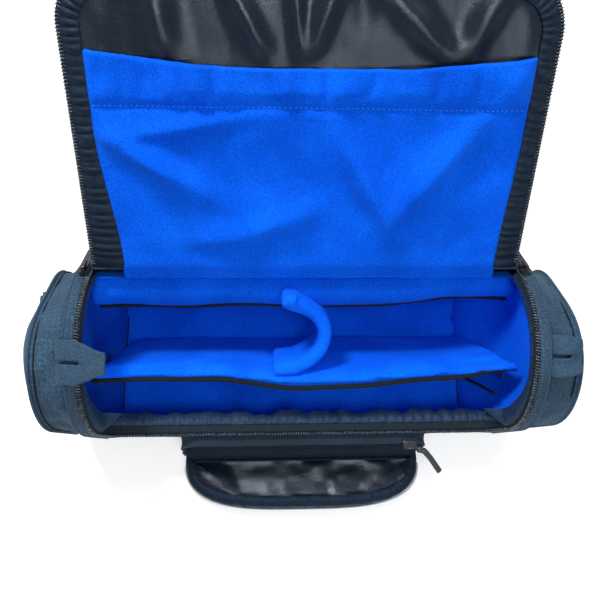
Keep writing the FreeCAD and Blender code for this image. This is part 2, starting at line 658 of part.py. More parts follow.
def make_front_pocket():
    deep = FP_DEPTH_BOTTOM + 5
    outer = Part.Face(pocket_outline(0, FP_BACK_Y, FP_CORNER)).extrude(V(0, -deep, 0))
    inner = Part.Face(pocket_outline(FP_WALL_T, FP_BACK_Y + 1, FP_CORNER)).extrude(V(0, -deep - 2, 0))
    ring = outer.cut(inner)
    low, high = on_rim(0, FP_BOTTOM_Z - 10), on_rim(0, FP_TOP_Z + 10)
    side = prism_x([(low.y, low.z, 0), (high.y, high.z, 0), (-FAR, high.z, 0), (-FAR, low.z, 0)], -FAR, FAR)
    ring = ring.cut(side)
    bead_x = FP_HALF - FLAP_HINGE_END
    bead = Part.makeCylinder(FLAP_HINGE_R, 2 * bead_x, V(-bead_x, FLAP_AXIS.y, FLAP_AXIS.z), V(1, 0, 0))
    write("front_pocket_wall", group([ring, bead]))

    half, top = FP_HALF - FP_WALL_T / 2, FP_TOP_Z - FP_WALL_T / 2
    foot = FP_BOTTOM_Z + 12
    r = FP_CORNER - FP_WALL_T / 2
    k = r * math.sqrt(0.5)
    out = FP_COIL_R + CLEAR
    p = [on_rim(half, foot, out), on_rim(half, top - r, out), on_rim(half - r + k, top - r + k, out),
         on_rim(half - r, top, out)]
    q = [V(-v.x, v.y, v.z) for v in p]
    edges = [Part.LineSegment(p[0], p[1]).toShape(), Part.Arc(p[1], p[2], p[3]).toShape(),
             Part.LineSegment(p[3], q[3]).toShape(), Part.Arc(q[3], q[2], q[1]).toShape(),
             Part.LineSegment(q[1], q[0]).toShape()]
    write("front_pocket_coil", tube_along(edges, FP_COIL_R, p[0], RIM_UP))
    back = Part.Face(pocket_outline(FP_WALL_T + CLEAR, FP_BACK_Y, FP_CORNER)).extrude(V(0, -1.2, 0))
    write("front_pocket_lining", back)


def make_flap():
    """The pocket's outer panel, hinged along its lower edge and stored open."""
    a = math.radians(FLAP_OPEN)
    along = V(0, -math.sin(a), math.cos(a))
    inward = V(0, math.cos(a), math.sin(a))
    half = FP_HALF - FP_WALL_T / 2 - FP_COIL_R - 0.5
    length = (FP_TOP_Z - FP_WALL_T / 2 - FP_COIL_R - FLAP_AXIS.z) / RIM_UP.z - 1.5
    start = FLAP_HINGE_R + 0.6

    def on_flap(x, s, n):
        return FLAP_AXIS + V(x, 0, 0) + along * s + inward * n

    def slab(inset, n0, n1, s0):
        c = max(FLAP_CORNER - inset, 1.0)
        corners = [(-half + inset, s0, 3), (half - inset, s0, 3), (half - inset, length - inset, c),
                   (-half + inset, length - inset, c)]
        return Part.Face(rounded(corners, lambda x, s: on_flap(x, s, n0))).extrude(inward * (n1 - n0))

    rim = 2 * FP_COIL_R + 0.4
    inner = FLAP_AXIS_OUT - 0.5 - FLAP_LINING_T
    write("flap_shell", slab(rim, inner - FLAP_T, inner, start))
    write("flap_lining", slab(rim + 1, inner, inner + FLAP_LINING_T, start + 1))
    e = half - FP_COIL_R
    t = length - FP_COIL_R
    c = FLAP_CORNER - FP_COIL_R
    k = c * math.sqrt(0.5)
    n = inner - FLAP_T / 2
    p = [on_flap(e, start + 8, n), on_flap(e, t - c, n), on_flap(e - c + k, t - c + k, n), on_flap(e - c, t, n)]
    q = [V(-v.x, v.y, v.z) for v in p]
    edges = [Part.LineSegment(p[0], p[1]).toShape(), Part.Arc(p[1], p[2], p[3]).toShape(),
             Part.LineSegment(p[3], q[3]).toShape(), Part.Arc(q[3], q[2], q[1]).toShape(),
             Part.LineSegment(q[1], q[0]).toShape()]
    write("flap_coil", tube_along(edges, FP_COIL_R, p[0], along))


# ---- sliders ----
def make_main_sliders():
    """The right main slider and its pull, parked at the rear end of the side coil."""
    a = math.radians(SLIDER_ANGLE)
    out = V(0, math.cos(a), math.sin(a))
    tangent = V(0, -math.sin(a), math.cos(a))
    centre = V(0, 0, CENTRE_Z)
    base = COIL_RADIUS + COIL_R + CLEAR
    x0 = ZIP_X - COIL_R
    x1 = x0 + SLIDER_W

    def place(t, r, x):
        return centre + V(x, 0, 0) + out * r + tangent * t

    half = SLIDER_L / 2
    plate = rounded([(x0, -half, 1.5), (x1, -half, 1.5), (x1, half, 3), (x0, half, 3)],
                    lambda x, t: place(t, base, x))
    body = Part.Face(plate).extrude(out * SLIDER_T)
    bridge_w = 3.0
    mid = (x0 + x1) / 2
    wire = rounded([(-half + 1, base + SLIDER_T - 1, 0), (half - 1, base + SLIDER_T - 1, 0),
                    (half - 2, base + SLIDER_T + 5, 2.5), (-half + 2, base + SLIDER_T + 5, 2.5)],
                   lambda t, r: place(t, r, mid - bridge_w / 2))
    bridge = Part.Face(wire).extrude(V(bridge_w, 0, 0))
    eye = rounded([(-half + 3, base + SLIDER_T, 0.5), (half - 3, base + SLIDER_T, 0.5),
                   (half - 4, base + SLIDER_T + 3.4, 1), (-half + 4, base + SLIDER_T + 3.4, 1)],
                  lambda t, r: place(t, r, mid - bridge_w))
    eye = Part.Face(eye).extrude(V(2 * bridge_w, 0, 0))
    write_pair("slider", body.fuse(bridge).cut(eye))

    pivot_t, pivot_r = -half + 4.4, base + SLIDER_T + 1.7
    pin = Part.makeCylinder(0.8, PULL_W, place(pivot_t, pivot_r, mid - PULL_W / 2), V(1, 0, 0))
    tab = rounded([(-PULL_W / 2, 0, 1), (PULL_W / 2, 0, 1), (PULL_W / 2, -PULL_L, 2.5), (-PULL_W / 2, -PULL_L, 2.5)],
                  lambda x, t: place(pivot_t + 0.8 + t, pivot_r - PULL_T / 2, mid + x))
    tab = Part.Face(tab).extrude(out * PULL_T)
    slot = rounded([(-bridge_w / 2 - 0.5, 1, 0), (bridge_w / 2 + 0.5, 1, 0), (bridge_w / 2 + 0.5, -7, 0),
                    (-bridge_w / 2 - 0.5, -7, 0)],
                   lambda x, t: place(pivot_t + 0.8 + t, pivot_r - PULL_T, mid + x))
    slot = Part.Face(slot).extrude(out * 2 * PULL_T)
    write_pair("pull", tab.cut(slot).fuse(pin))


def make_pocket_slider():
    """The front pocket's slider, parked at the right-hand end, with its moulded pull hanging outwards."""
    rim_y = on_rim(0, FP_TOP_Z).y
    z0 = FP_TOP_Z + CLEAR
    middle = FP_HALF - FP_CORNER
    x0, x1 = middle - SLIDER_L / 2, middle + SLIDER_L / 2
    front = rim_y - 2 * FP_COIL_R - FLAP_T - 2 * CLEAR
    pin_x, pin_z = x1 + POCKET_PIN_R + 1, z0 + SLIDER_T / 2
    body = box(x0, x1, front, rim_y + 2, z0, z0 + SLIDER_T)
    arm = box(x1 - 1, pin_x + POCKET_PIN_R, front, front + 2, z0, z0 + SLIDER_T)
    pin = Part.makeCylinder(POCKET_PIN_R, POCKET_PULL_T + 2 * CLEAR, V(pin_x, front, pin_z), V(0, -1, 0))
    write("pocket_slider", body.fuse(arm).fuse(pin))
    a = math.radians(-POCKET_PULL_DROOP)
    w = POCKET_PULL_W / 2
    y0 = front - CLEAR

    def place(u, v):
        return V(pin_x + u * math.cos(a) - v * math.sin(a), y0, pin_z + u * math.sin(a) + v * math.cos(a))

    end = POCKET_PULL_L - w
    outline = [(-w, -w, w - 0.2), (end, -w, 2), (end, w, 2), (-w, w, w - 0.2)]
    strap = Part.Face(rounded(outline, place)).extrude(V(0, -POCKET_PULL_T, 0))
    hole = Part.makeCylinder(POCKET_PIN_R + PIN_PLAY, POCKET_PULL_T + 2, V(pin_x, y0 + 1, pin_z), V(0, -1, 0))
    write("pocket_pull", strap.cut(hole))


make_walls()
make_face_zip(make_ends())
make_body_zip()
make_hinge()
make_lid()
make_handle()
make_inside()
make_loops()
make_front_pocket()
make_flap()
make_main_sliders()
make_pocket_slider()
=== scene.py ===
"""Looks of a barrel bowling ball bag: woven shell, blue fleece inside, satin linings, zippers and webbing."""
import json
import math

import bmesh
import bpy
from bpy.props import FloatProperty, FloatVectorProperty, IntProperty, PointerProperty
from mathutils import Matrix, Vector, noise


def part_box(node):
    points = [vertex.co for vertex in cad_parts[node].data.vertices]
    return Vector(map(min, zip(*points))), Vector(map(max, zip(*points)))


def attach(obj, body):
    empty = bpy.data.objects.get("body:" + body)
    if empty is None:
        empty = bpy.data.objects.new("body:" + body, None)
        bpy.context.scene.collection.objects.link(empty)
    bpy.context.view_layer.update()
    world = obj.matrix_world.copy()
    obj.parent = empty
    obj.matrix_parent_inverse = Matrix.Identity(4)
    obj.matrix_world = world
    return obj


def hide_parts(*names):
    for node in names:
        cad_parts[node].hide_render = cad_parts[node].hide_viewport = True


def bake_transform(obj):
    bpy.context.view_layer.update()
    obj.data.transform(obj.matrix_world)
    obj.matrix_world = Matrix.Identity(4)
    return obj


bl_info = {
    "name": "Barrel bowling ball bag",
    "version": (1, 0, 0),
    "blender": (4, 5, 0),
    "location": "View3D > Sidebar > Bag",
    "description": "Builds the fabric, padding, zippers and webbing of a barrel-shaped bowling ball bag",
    "category": "Object",
}

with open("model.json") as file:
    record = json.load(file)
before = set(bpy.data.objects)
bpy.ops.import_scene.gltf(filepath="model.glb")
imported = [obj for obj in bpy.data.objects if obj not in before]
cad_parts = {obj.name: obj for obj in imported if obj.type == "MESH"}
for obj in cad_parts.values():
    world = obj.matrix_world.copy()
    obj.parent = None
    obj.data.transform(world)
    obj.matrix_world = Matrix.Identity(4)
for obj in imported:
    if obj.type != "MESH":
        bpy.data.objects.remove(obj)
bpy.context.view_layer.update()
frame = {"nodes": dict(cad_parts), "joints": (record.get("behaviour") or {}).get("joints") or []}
JOINTS = {joint["name"]: joint for joint in frame["joints"]}


# ---------------------------------------------------------------------------------------------
# The bag's own measures, read from the frame
# ---------------------------------------------------------------------------------------------
def joint_place(name):
    return Vector(JOINTS[name]["pos_m"])


def low(node):
    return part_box(node)[0]


def high(node):
    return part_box(node)[1]


RADIUS = high("rear_shell").y
BODY_HALF = high("rear_shell").x
CENTRE_Z = joint_place("right_slider_travel").z
COIL_R = 0.0015
ZIP_X = high("body_zip_coil").x - COIL_R
COIL_RADIUS = -low("body_zip_coil").y - COIL_R
FRONT_EDGE_Z = low("body_zip_coil").z + COIL_R
FRONT_CORNER = 0.034
BASE_CORNER = 0.034
WALL = 0.010
FLOOR_Z = high("base_lining").z
END_X = low("right_end_lining").x
POCKET_RADIUS = high("right_pocket_wall").y
POCKET_BOTTOM = low("right_pocket_wall").z
POCKET_END = high("right_pocket_wall").x
HINGE = joint_place("lid_hinge")
FOLDS = [HINGE] + [joint_place("lid_fold_%d" % k) for k in (1, 2, 3)]
SECTION = (FOLDS[1] - FOLDS[0]).length
ALONG = (FOLDS[1] - FOLDS[0]).normalized()
INWARD = Vector((0.0, -ALONG.z, ALONG.y))
LID_LENGTH = 4 * SECTION
LID_COIL_X = high("lid_zip_1").x - COIL_R
LID_PANEL_X = high("lid_panel_2").x
LID_CORNER = 0.045
HINGE_ANGLE = math.atan2(HINGE.z - CENTRE_Z, HINGE.y)
SIDES = (("left", -1), ("right", 1))


# ---------------------------------------------------------------------------------------------
# Sizes and colours that a user would change
# ---------------------------------------------------------------------------------------------
class BagSizes(bpy.types.PropertyGroup):
    coil_pitch: FloatProperty(name="Coil pitch", description="Spacing of the main zippers' coil",
                              default=0.0027, unit="LENGTH")
    pocket_coil_pitch: FloatProperty(name="Pocket coil pitch", description="Spacing of the front pocket's coil",
                                     default=0.0021, unit="LENGTH")
    fabric_thickness: FloatProperty(name="Fabric", description="Thickness of the outer fabric", default=0.0010,
                                    unit="LENGTH")
    binding_radius: FloatProperty(name="Binding", description="Radius of the bound seams", default=0.0016,
                                  unit="LENGTH")
    gather_depth: FloatProperty(name="Gathers", description="Height of the satin's gathers", default=0.0016,
                                unit="LENGTH")
    gather_pitch: FloatProperty(name="Gather spacing", description="Average spacing of the satin's gathers",
                                default=0.0085, unit="LENGTH")
    pad_steps: IntProperty(name="Plumping steps", description="Cloth steps used to plump the pads", default=18)


class BagColours(bpy.types.PropertyGroup):
    fleece: FloatVectorProperty(name="Fleece", description="Colour of the fleece", subtype="COLOR",
                                default=(0.0008, 0.083, 0.68))
    shell: FloatVectorProperty(name="Outer fabric", description="Colour of the outer fabric", subtype="COLOR",
                               default=(0.025, 0.055, 0.094))
    satin: FloatVectorProperty(name="Satin", description="Colour of the linings", subtype="COLOR",
                               default=(0.0060, 0.0135, 0.0270))
    trim: FloatVectorProperty(name="Trim", description="Colour of tapes, coils and bindings", subtype="COLOR",
                              default=(0.0075, 0.0135, 0.021))
    floor: FloatVectorProperty(name="Floor", description="Colour of the floor", subtype="COLOR",
                               default=(0.86, 0.86, 0.86))


def sizes():
    return bpy.context.scene.bag_sizes


def colours():
    return bpy.context.scene.bag_colours


# ---------------------------------------------------------------------------------------------
# Small mathematics
# ---------------------------------------------------------------------------------------------
def span(a, b, count):
    return [a + (b - a) * i / count for i in range(count + 1)]


def smooth(t):
    t = min(max(t, 0.0), 1.0)
    return t * t * (3 - 2 * t)


def wobble(a, b, seed, scale):
    """Smooth noise from -1 to 1 over a surface, at one feature size."""
    return noise.noise(Vector((a / scale, b / scale, seed * 7.31)))


def bump(value, width):
    return math.exp(-(value / width) ** 2)


def belly(t):
    """0 at both ends and 1 in the middle."""
    return math.sin(math.pi * t)


def ridge(x, y, x0, y0, degrees, length, width, height):
    """One soft fold: a long mound at (x0, y0), running in one direction."""
    a = math.radians(degrees)
    dx, dy = x - x0, y - y0
    on, off = dx * math.cos(a) + dy * math.sin(a), dy * math.cos(a) - dx * math.sin(a)
    return height * bump(off, width) * bump(on, length)


def ridges(x, y, folds):
    return sum(ridge(x, y, *fold) for fold in folds)


def on_arch(radius, degrees, x=0.0):
    a = math.radians(degrees)
    return Vector((x, radius * math.cos(a), CENTRE_Z + radius * math.sin(a)))


def lid_at(x, s, n=0.0):
    """Point on the open lid: s from the hinge, n off its middle plane towards its inside."""
    return Vector((x, HINGE.y, HINGE.z)) + ALONG * s + INWARD * n


class Outline:
    """The bag's section: a half circle over upright sides, round lower corners and a flat base.

    Distance runs from the top of the arch down the rear, along the base, up the front and back to the top.
    """

    def __init__(self, radius, bottom, corner):
        self.radius, self.bottom, self.corner = radius, bottom, corner
        quarter = math.pi / 2
        self.lengths = [radius * quarter, CENTRE_Z - bottom - corner, corner * quarter,
                        2 * (radius - corner), corner * quarter, CENTRE_Z - bottom - corner, radius * quarter]
        self.total = sum(self.lengths)

    def rear_angle(self, degrees):
        return self.radius * math.radians(90 - degrees)

    def front_height(self, z):
        return sum(self.lengths[:5]) + z - self.bottom - self.corner

    def at(self, d):
        """((y, z), outward normal (y, z)) at a distance."""
        d = d % self.total
        r, c, quarter = self.radius, self.corner, math.pi / 2
        n = 0
        while n < 6 and d > self.lengths[n]:
            d -= self.lengths[n]
            n += 1
        low_z = self.bottom + c
        if n == 0:
            a = quarter - d / r
            return (r * math.cos(a), CENTRE_Z + r * math.sin(a)), (math.cos(a), math.sin(a))
        if n == 1:
            return (r, CENTRE_Z - d), (1.0, 0.0)
        if n == 2:
            a = -d / c
            return (r - c + c * math.cos(a), low_z + c * math.sin(a)), (math.cos(a), math.sin(a))
        if n == 3:
            return (r - c - d, self.bottom), (0.0, -1.0)
        if n == 4:
            a = -quarter - d / c
            return (-r + c + c * math.cos(a), low_z + c * math.sin(a)), (math.cos(a), math.sin(a))
        if n == 5:
            return (-r, low_z + d), (-1.0, 0.0)
        a = math.pi - d / r
        return (r * math.cos(a), CENTRE_Z + r * math.sin(a)), (math.cos(a), math.sin(a))

    def point(self, x, d, out=0.0):
        (y, z), (ny, nz) = self.at(d)
        return Vector((x, y + ny * out, z + nz * out))


TUBE = Outline(RADIUS, 0.0, BASE_CORNER)
INSIDE = Outline(RADIUS - WALL, FLOOR_Z, BASE_CORNER - WALL)
POCKET = Outline(POCKET_RADIUS, POCKET_BOTTOM, BASE_CORNER)
HINGE_DEGREES = math.degrees(HINGE_ANGLE)


# ---------------------------------------------------------------------------------------------
# Mesh makers
# ---------------------------------------------------------------------------------------------
def new_object(name, verts, faces, material, uvs=None):
    mesh = bpy.data.meshes.new(name)
    mesh.from_pydata([tuple(v) for v in verts], [], faces)
    mesh.update()
    if uvs:
        layer = mesh.uv_layers.new(name="UVMap")
        for loop in mesh.loops:
            layer.data[loop.index].uv = uvs[loop.vertex_index]
    for polygon in mesh.polygons:
        polygon.use_smooth = True
    mesh.materials.append(material)
    obj = bpy.data.objects.new(name, mesh)
    bpy.context.scene.collection.objects.link(obj)
    return obj


def lay_texture(obj, place):
    """Sets a piece's texture coordinates. place(vertex) gives them in metres."""
    layer = obj.data.uv_layers[0].data
    for loop in obj.data.loops:
        layer[loop.index].uv = place(obj.data.vertices[loop.vertex_index])


def grid(name, material, point, us, vs, closed=False):
    """A sheet through point(u, v). Its texture coordinates are u and v in metres."""
    verts = [point(u, v) for u in us for v in vs]
    uvs = [(u, v) for u in us for v in vs]
    cols, rows = len(us), len(vs)
    faces = []
    for i in range(cols - (0 if closed else 1)):
        for j in range(rows - 1):
            a, b = i * rows + j, ((i + 1) % cols) * rows + j
            faces.append((a, b, b + 1, a + 1))
    return new_object(name, verts, faces, material, uvs)


def loft(name, material, rings):
    """A solid through rings of points, with flat ends."""
    n, count = len(rings[0]), len(rings)
    faces = []
    for i in range(count - 1):
        a, b = i * n, (i + 1) * n
        faces += [(a + k, b + k, b + (k + 1) % n, a + (k + 1) % n) for k in range(n)]
    faces += [tuple(range(n)), tuple((count - 1) * n + k for k in range(n))[::-1]]
    return new_object(name, [p for ring in rings for p in ring], faces, material)


def frames_along(points, closed=False, hint=Vector((0, 0, 1))):
    """A steady pair of side vectors at each point of a path."""
    out = []
    n = len(points)
    side = None
    for i in range(n):
        a = points[(i - 1) % n] if closed or i > 0 else points[i]
        b = points[(i + 1) % n] if closed or i < n - 1 else points[i]
        t = (b - a).normalized()
        if side is None:
            side = t.cross(hint)
            if side.length < 1e-4:
                side = t.cross(Vector((1, 0, 0)))
        side = (side - t * side.dot(t)).normalized()
        out.append((side, t.cross(side).normalized()))
    return out


def tube(name, material, points, radius, sides=8, closed=False, flat=1.0):
    """A bar swept along points, round or flattened, with closed ends."""
    axes = frames_along(points, closed)
    verts, uvs, faces = [], [], []
    run = 0.0
    for i, p in enumerate(points):
        if i:
            run += (p - points[i - 1]).length
        for k in range(sides):
            a = 2 * math.pi * k / sides
            verts.append(p + axes[i][0] * (radius * math.cos(a)) + axes[i][1] * (radius * flat * math.sin(a)))
            uvs.append((run, 2 * radius * k / sides * 3))
    n = len(points)
    for i in range(n if closed else n - 1):
        for k in range(sides):
            a, b = i * sides, ((i + 1) % n) * sides
            faces.append((a + k, a + (k + 1) % sides, b + (k + 1) % sides, b + k))
    if not closed:
        faces.append(tuple(range(sides))[::-1])
        faces.append(tuple((n - 1) * sides + k for k in range(sides)))
    return new_object(name, verts, faces, material, uvs)


def distances(path):
    """Distance along a path at each of its points."""
    runs = [0.0]
    for a, b in zip(path, path[1:]):
        runs.append(runs[-1] + (b - a).length)
    return runs


def resample(points, step, closed=False):
    """Evenly spaced points along a path."""
    path = points + [points[0]] if closed else points
    total = sum((b - a).length for a, b in zip(path, path[1:]))
    count = max(2, round(total / step))
    out, run, i = [], 0.0, 0
    for k in range(count + (0 if closed else 1)):
        want = total * k / count
        while i < len(path) - 2 and run + (path[i + 1] - path[i]).length < want:
            run += (path[i + 1] - path[i]).length
            i += 1
        length = (path[i + 1] - path[i]).length
        out.append(path[i].lerp(path[i + 1], min((want - run) / length, 1.0) if length else 0.0))
    return out


def coil(name, material, path, normal_of, pitch, half_width, half_height, wire=0.00052):
    """A zipper's nylon coil: a flattened helix along path. normal_of(point) faces out of the tape."""
    turn = 8
    fine = resample(path, pitch / turn)
    n = len(fine)
    points = []
    for i, p in enumerate(fine):
        t = (fine[min(i + 1, n - 1)] - fine[max(i - 1, 0)]).normalized()
        normal = normal_of(p)
        across = t.cross(normal).normalized()
        a = 2 * math.pi * i / turn
        points.append(p + across * (half_width * math.cos(a)) + normal * (half_height * math.sin(a)))
    return tube(name, material, points, wire, sides=4)


def stitches(name, material, path, normal_of, stitch=0.0024, gap=0.0011, radius=0.00028):
    """A row of sewn stitches lying on a surface."""
    fine = resample(path, stitch + gap)
    verts, faces = [], []
    for a, b in zip(fine, fine[1:]):
        t = (b - a).normalized()
        normal = normal_of(a)
        across = t.cross(normal).normalized()
        base = len(verts)
        for part, r in ((0.0, 0.4), (0.25, 1.0), (0.75, 1.0), (1.0, 0.4)):
            middle = a + t * (stitch * part) + normal * (radius * (0.6 if r == 1.0 else -0.6))
            for k in range(4):
                w, reach = math.pi / 4 + math.pi / 2 * k, radius * r
                verts.append(middle + across * (reach * 1.5 * math.cos(w)) + normal * (reach * math.sin(w)))
        for ring in range(3):
            for k in range(4):
                p, q = base + ring * 4 + k, base + ring * 4 + (k + 1) % 4
                faces.append((p, q, q + 4, p + 4))
        faces.append((base + 3, base + 2, base + 1, base))
        faces.append((base + 12, base + 13, base + 14, base + 15))
    return new_object(name, verts, faces, material)


def join(name, objects):
    """Several pieces as one object; the first keeps its modifiers."""
    bpy.ops.object.select_all(action="DESELECT")
    for obj in objects:
        obj.select_set(True)
    bpy.context.view_layer.objects.active = objects[0]
    bpy.ops.object.join()
    objects[0].name = name
    objects[0].data.name = name
    return objects[0]


def rounded_path(corners, steps=8):
    """Points of a closed outline in a plane, from (u, v, radius) corners."""
    out = []
    n = len(corners)
    for i, (u, v, r) in enumerate(corners):
        p = Vector((u, v))
        before = (Vector(corners[i - 1][:2]) - p).normalized()
        after = (Vector(corners[(i + 1) % n][:2]) - p).normalized()
        half = math.acos(max(-1, min(1, before.dot(after)))) / 2
        if r <= 0:
            out.append(p)
            continue
        centre = p + (before + after).normalized() * (r / math.sin(half))
        a = p + before * (r / math.tan(half)) - centre
        b = p + after * (r / math.tan(half)) - centre
        turn = math.atan2(a.x * b.y - a.y * b.x, a.dot(b))
        for k in range(steps + 1):
            c, q = math.cos(turn * k / steps), math.sin(turn * k / steps)
            out.append(centre + Vector((a.x * c - a.y * q, a.x * q + a.y * c)))
    return out


def patch(half_u, half_v):
    """Outline of a small rectangle with rounded corners, about its middle."""
    corners = ((-half_u, -half_v), (half_u, -half_v), (half_u, half_v), (-half_u, half_v))
    return rounded_path([(u, v, 0.002) for u, v in corners], 4)


def slab(name, material, outline, place, thickness, bevel=0.0004):
    """A flat piece: a closed outline of (u, v) points, raised by thickness. place(u, v, w) gives the point."""
    n = len(outline)
    verts = [place(p[0], p[1], 0.0) for p in outline] + [place(p[0], p[1], thickness) for p in outline]
    faces = [tuple(range(n))[::-1], tuple(range(n, 2 * n))]
    faces += [(i, (i + 1) % n, n + (i + 1) % n, n + i) for i in range(n)]
    obj = new_object(name, verts, faces, material, [(p[0], p[1]) for p in outline] * 2)
    edge = obj.modifiers.new("Edge", "BEVEL")
    edge.width = bevel
    edge.segments = 2
    edge.limit_method = "ANGLE"
    return obj


def rounded(obj):
    """Smooths a thick cloth's edges."""
    soft = obj.modifiers.new("Rounding", "SUBSURF")
    soft.levels = soft.render_levels = 1
    return obj


def evaluated(obj):
    graph = bpy.context.evaluated_depsgraph_get()
    return bpy.data.meshes.new_from_object(obj.evaluated_get(graph))


def plump(obj, voxel, pressure, cap):
    """Turns a closed form into an even skin and blows it up softly, as filling does, by cap at most."""
    remesh = obj.modifiers.new("Even", "REMESH")
    remesh.mode = "VOXEL"
    remesh.voxel_size = voxel
    remesh.use_smooth_shade = True
    mesh = evaluated(obj)
    obj.modifiers.clear()
    obj.data = mesh
    rest = [v.co.copy() for v in obj.data.vertices]
    cloth = obj.modifiers.new("Cloth", "CLOTH")
    cloth.settings.use_pressure = True
    cloth.settings.uniform_pressure_force = pressure
    cloth.settings.effector_weights.gravity = 0.0
    cloth.settings.quality = 4
    cloth.point_cache.frame_start = 1
    cloth.point_cache.frame_end = sizes().pad_steps
    scene = bpy.context.scene
    for step in range(1, sizes().pad_steps + 1):
        scene.frame_set(step)
    swollen = evaluated(obj)
    for v, start, moved in zip(obj.data.vertices, rest, swollen.vertices):
        shift = moved.co - start
        if shift.length > cap:
            shift *= cap / shift.length
        v.co = start + shift
    obj.modifiers.clear()
    scene.frame_set(1)
    for polygon in obj.data.polygons:
        polygon.use_smooth = True
    obj.modifiers.new("Rounding", "SUBSURF").render_levels = 1
    return obj


def rumple(obj, amount, scale, seed):
    """Pushes a mesh's points in and out along their normals by smooth noise."""
    moves = []
    for v in obj.data.vertices:
        p = v.co / scale + Vector((seed, seed * 0.7, 0.0))
        moves.append(v.normal * (noise.noise(p) * amount + noise.noise(p * 2.3) * amount * 0.4))
    for v, move in zip(obj.data.vertices, moves):
        v.co += move
    return obj


# ---------------------------------------------------------------------------------------------
# Materials
# ---------------------------------------------------------------------------------------------
class Nodes:
    """Short way to write a node tree: each call adds a node and returns its main output."""

    def __init__(self, name):
        self.material = bpy.data.materials.new(name)
        self.material.use_nodes = True
        self.tree = self.material.node_tree
        self.shader = self.tree.nodes["Principled BSDF"]

    def add(self, kind, out=0, props=None, **inputs):
        node = self.tree.nodes.new(kind)
        for key, value in (props or {}).items():
            setattr(node, key, value)
        for key, value in inputs.items():
            socket = node.inputs[int(key[1:])] if key[0] == "i" and key[1:].isdigit() else node.inputs[key]
            self.put(socket, value)
        return node.outputs[out]

    def put(self, socket, value):
        if isinstance(value, bpy.types.NodeSocket):
            self.tree.links.new(value, socket)
        else:
            socket.default_value = value

    def coords(self, kind="Object"):
        return self.add("ShaderNodeTexCoord", out=kind)

    def scaled(self, vector, scale):
        return self.add("ShaderNodeMapping", Vector=vector, Scale=scale)

    def noise(self, vector, scale, detail=2.0, rough=0.5):
        return self.add("ShaderNodeTexNoise", Vector=vector, Scale=scale, Detail=detail, Roughness=rough)

    def waves(self, vector, direction, scale, **inputs):
        """Parallel threads or ribs across one direction."""
        return self.add("ShaderNodeTexWave", out=1, props={"bands_direction": direction}, Vector=vector,
                        Scale=scale, **inputs)

    def ramp(self, value, stops):
        node = self.tree.nodes.new("ShaderNodeValToRGB")
        elements = node.color_ramp.elements
        while len(elements) < len(stops):
            elements.new(0.5)
        for element, (place, colour) in zip(elements, stops):
            element.position = place
            element.color = (*colour, 1.0)
        self.put(node.inputs[0], value)
        return node.outputs[0]

    def maths(self, operation, a, b=0.0):
        return self.add("ShaderNodeMath", props={"operation": operation}, i0=a, i1=b)

    def blend(self, *shares):
        """Sum of (value, share) pairs."""
        total = None
        for value, share in shares:
            part = self.maths("MULTIPLY", value, share)
            total = part if total is None else self.maths("ADD", total, part)
        return total

    def bumped(self, height, strength, distance):
        node = self.tree.nodes.new("ShaderNodeBump")
        self.put(node.inputs["Height"], height)
        node.inputs["Strength"].default_value = strength
        node.inputs["Distance"].default_value = distance
        return node.outputs[0]

    def finish(self, colour, roughness, normal, **sockets):
        self.put(self.shader.inputs["Base Color"], colour)
        self.put(self.shader.inputs["Roughness"], roughness)
        self.put(self.shader.inputs["Normal"], normal)
        for key, value in sockets.items():
            self.put(self.shader.inputs[key.replace("_", " ")], value)
        return self.material


def tint(colour, factor):
    return tuple(min(c * factor, 1.0) for c in colour)


def fleece_material(name="fleece", tone=1.0):
    """Short looped pile: a speckle of bright and dark tufts over soft blotches, with a fuzzy sheen."""
    n = Nodes(name)
    c = tint(tuple(colours().fleece), tone)
    place = n.coords("Object")
    speckle = n.noise(place, 1150.0, 2.0, 0.6)
    blotch = n.noise(place, 18.0, 2.0, 0.5)
    colour = n.ramp(n.blend((speckle, 0.72), (blotch, 0.28)),
                    [(0.30, tint(c, 0.45)), (0.50, c), (0.70, tint((0.004, 0.17, 1.0), tone))])
    tufts = n.bumped(speckle, 0.5, 0.0010)
    return n.finish(colour, 0.95, tufts, Sheen_Weight=0.12, Sheen_Roughness=0.5,
                    Sheen_Tint=(0.05, 0.45, 1.0, 1.0), Specular_IOR_Level=0.06)


def shell_material(name="outer_fabric", tone=1.0):
    """Woven outer fabric: a fine crossed grid of flecked threads, with faint larger squares."""
    n = Nodes(name)
    c = tint(tuple(colours().shell), tone)
    uv = n.coords("UV")
    warp = n.waves(uv, "X", 300.0, Distortion=0.25, i3=1.0)
    weft = n.waves(uv, "Y", 300.0, Distortion=0.25, i3=1.0)
    weave = n.maths("MAXIMUM", warp, weft)
    squares_x = n.waves(uv, "X", 62.0)
    squares_y = n.waves(uv, "Y", 62.0)
    squares = n.maths("POWER", n.maths("MAXIMUM", squares_x, squares_y), 6.0)
    fleck = n.noise(n.scaled(uv, (260.0, 1400.0, 1.0)), 1.0, 2.0, 0.6)
    cloud = n.noise(n.coords("Object"), 14.0, 3.0, 0.5)
    heather = n.noise(n.scaled(uv, (420.0, 640.0, 1.0)), 1.0, 3.0, 0.7)
    mixed = n.blend((weave, 0.14), (fleck, 0.30), (cloud, 0.14), (heather, 0.30), (squares, 0.03))
    colour = n.ramp(mixed, [(0.30, tint(c, 0.16)), (0.43, tint(c, 0.62)), (0.53, tint(c, 1.5)),
                            (0.67, tint(c, 4.2))])
    height = n.maths("ADD", weave, n.maths("MULTIPLY", fleck, 0.6))
    normal = n.bumped(height, 0.5, 0.0005)
    return n.finish(colour, n.maths("ADD", n.maths("MULTIPLY", fleck, 0.2), 0.66), normal, Sheen_Weight=0.10,
                    Sheen_Roughness=0.4, Sheen_Tint=(0.5, 0.75, 1.0, 1.0), Specular_IOR_Level=0.22)


